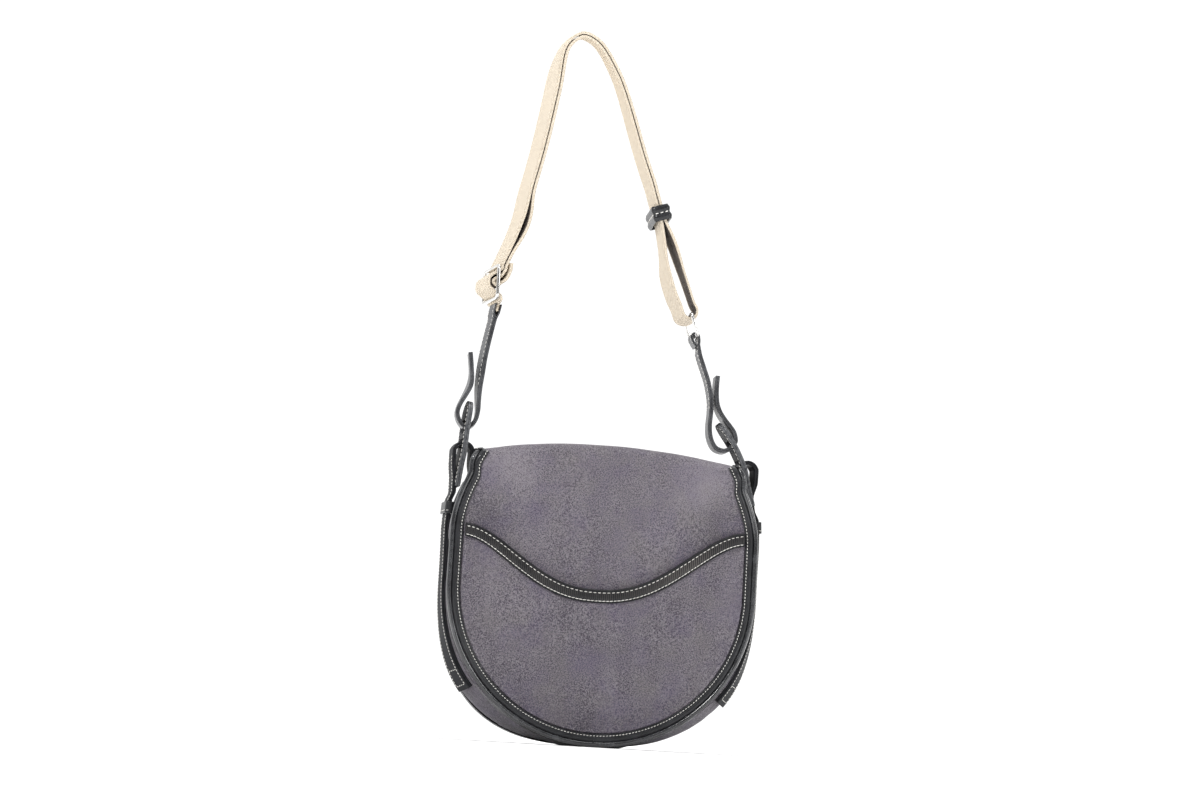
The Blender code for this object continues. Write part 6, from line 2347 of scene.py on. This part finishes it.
class BagMaker:
    """Builds every sub-assembly in order and puts the pieces in place."""

    def __init__(self) -> None:
        self.rim = Rim()
        self.shell = SuedeShell(self.rim)
        self.carcass = Carcass(self.rim)
        self.pocket = SlipPocket(self.rim)
        self.hangers = {
            Side.LEFT: SideHanger(
                self.rim, self.carcass, Side.LEFT, arch_centre=0.1310,
                arch_crossing=math.radians(93.0), tab_heading=math.radians(92.0),
                bend_share=0.4, slot_spacing=0.0148, tail_heading=math.radians(97.0)),
            Side.RIGHT: SideHanger(
                self.rim, self.carcass, Side.RIGHT, arch_centre=0.1275,
                arch_crossing=math.radians(124.0), tab_heading=math.radians(114.0),
                bend_share=1.0, slot_spacing=0.0185, tail_heading=math.radians(106.0))}
        self.shoulder = Shoulder(self.hangers[Side.LEFT], self.hangers[Side.RIGHT])
        self.shop = Workshop(Finishes(), self.rim.settle)
        self.stitcher = Stitcher()

    def build_shell(self) -> None:
        """Suede shell, its binding and its thread, all baked in place on no body."""
        shop, finish, part = self.shop, self.shop.finishes, self.shell
        sheet = shop.place(part.sheet(), finish.suede, "back_panel", "flap_panel", body=None,
                           slot=Slot.SUEDE)
        shop.declare(sheet, row_cut(part.rows()), "stretched")
        shop.place(part.binding(), finish.leather, "flap_binding", "roof_binding_left",
                   "roof_binding_right", body=None)
        shop.place(self.stitcher.sew("shell_thread", [part.seam()]), finish.thread, body=None)

    def build_carcass(self) -> None:
        """Gusset, front, lining, board and the edging of both rims."""
        shop, finish, part = self.shop, self.shop.finishes, self.carcass
        for piece, material, solid, slot, cut, held in (
                (part.gusset, finish.suede, "gusset", Slot.SUEDE, part.gusset_cut, "stretched"),
                (part.front, finish.suede, "front_panel", Slot.SUEDE, part.front_cut, "stretched"),
                (part.lining, finish.cloth, "lining", Slot.CLOTH, part.lining_cut, "hung")):
            shop.declare(shop.place(piece(), material, solid, slot=slot), cut(), held)
        shop.place(part.board(), finish.board, "bottom_board", slot=Slot.BOARD)
        shop.place(part.mouth_trim(), finish.leather, "mouth_trim")
        rows = []
        for facing, name, top in ((-1, "back", part.back_top), (1, "front", self.rim.gusset_end)):
            shifted = facing < 0
            strip = part.rim_strip(name + "_binding_leather", part.flat_profile(facing), top,
                                   shifted, part.binding_thickness)
            shop.place(strip, finish.leather, name + "_binding")
            band = part.rim_strip(name + "_band_leather", part.band_profile(facing),
                                  self.rim.gusset_end, False, part.band_thickness)
            shop.place(band, finish.leather, name + "_rim_band")
            shop.place(part.bead(facing, name + "_bead"), finish.bead, name + "_piping")
            rows.append(part.seam(facing, top, shifted))
        shop.place(self.stitcher.sew("rim_thread", rows), finish.thread)

    def build_pocket(self) -> None:
        """Slip pocket and its bound edge."""
        shop, finish, part = self.shop, self.shop.finishes, self.pocket
        panel = shop.place(part.panel(), finish.suede, "pocket_panel", slot=Slot.SUEDE)
        shop.declare(panel, part.cut(), "stretched")
        shop.place(part.trim(), finish.ribbed, "pocket_trim")
        shop.place(self.stitcher.sew("pocket_thread", part.seams()), finish.thread)

    def build_hangers(self) -> None:
        """Side straps, keepers and tabs on both sides."""
        shop, finish = self.shop, self.shop.finishes
        for side, part in self.hangers.items():
            line = part.strap_line()
            ribbon = Ribbon(line, part.strap_width, part.strap_thickness)
            strap = ribbon.two_ply("side_strap_leather_" + side.word)
            Bench.bend(strap, part.lean)
            shop.place(strap, finish.strap, "side_strap_" + side.word, edge=finish.edge)
            place, along = part.keeper_place(line)
            hole = Vector((part.strap_thickness / 2 + self.rim.gap,
                           part.strap_width / 2 + part.running_gap))
            loop = band_loop("side_keeper_leather_" + side.word, place, along, hole,
                             part.keeper_wall, part.keeper_height)
            Bench.bend(loop, part.lean)
            shop.place(loop, finish.leather, "side_keeper_" + side.word)
            shop.place(part.tab(), finish.strap, "hanger_tab_" + side.word, edge=finish.edge)
            rows = part.strap_rows(ribbon) + part.keeper_rows(place, along, hole)
            for row in rows:
                row.line = [part.lean(point) for point in row.line]
            shop.place(self.stitcher.sew("hanger_thread_" + side.word, rows + part.tab_seams()),
                       finish.thread)

    def build_shoulder(self) -> None:
        """Strap ends, webbing, slide, ring and keeper."""
        shop, finish, part = self.shop, self.shop.finishes, self.shoulder
        right = part.right_ribbon()
        # The strap ends take a lighter leather as painted light, with their edges in painted
        # shade.
        for piece, side in ((part.left_leather(), "left"),
                            (right.two_ply("strap_end_leather_right"), "right")):
            shop.place(piece, finish.strap_end, "strap_end_" + side, body=Body.STRAP,
                       edge=finish.dark_edge)
        shop.place(part.webbing(), finish.webbing, "webbing", body=Body.STRAP, slot=Slot.COTTON)
        rise = Vector((0.0, part.slide_half_height))
        slide = part.wire_frame("slide_wire", Vector((part.slide_x, part.slide_height)) - rise,
                                2 * rise, (0.5,))
        Bench.bend(slide, part.sway)
        shop.place(slide, finish.nickel, "slide", body=Body.STRAP, slot=Slot.NICKEL)
        ring = part.wire_frame("ring_wire", part.low, part.up * part.ring_spacing)
        shop.place(ring, finish.nickel, "ring", body=Body.RING, slot=Slot.NICKEL)
        place, along = part.keeper_axis()
        hole = Vector((part.web_thickness + part.layer_gap / 2 + part.keeper_slack,
                       part.web_width / 2 + part.running_gap))
        keeper = band_loop("web_keeper_leather", place, along, hole, part.keeper_wall,
                           part.keeper_height, part.keeper_ridge)
        shop.place(keeper, finish.leather, "web_keeper", body=Body.KEEPER)
        left = part.left_ribbon()
        rows = []
        for face in (1, -1):
            for across in (-part.seam_half, part.seam_half):
                rows.append(right.row(face, across, *part.right_seam, **STRAP_STITCH))
                rows.append(part.swayed(left.row(face, across, *part.left_seam,
                                                 **STRAP_STITCH)))
        shop.place(self.stitcher.sew("strap_thread", rows), finish.thread, body=Body.STRAP)
        shop.place(self.stitcher.sew("keeper_thread", part.keeper_rows(place, along, hole)),
                   finish.thread, body=Body.KEEPER)

    def build(self) -> None:
        """Build everything."""
        self.build_shell()
        self.build_carcass()
        self.build_pocket()
        self.build_hangers()
        self.build_shoulder()
        Snap(self.shell).build(self.shop)
        LOG.info("%d pieces made", len(self.shop.made))


def main() -> None:
    """Load the frame, dress it and set the studio."""
    logging.basicConfig(level=logging.INFO, format="%(message)s")
    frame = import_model()
    LOG.info("frame: %s", frame)
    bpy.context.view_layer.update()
    bpy.ops.object.select_all(action="DESELECT")
    Studio().build()
    BagMaker().build()
    bpy.context.view_layer.update()


if __name__ == "__main__":
    main()
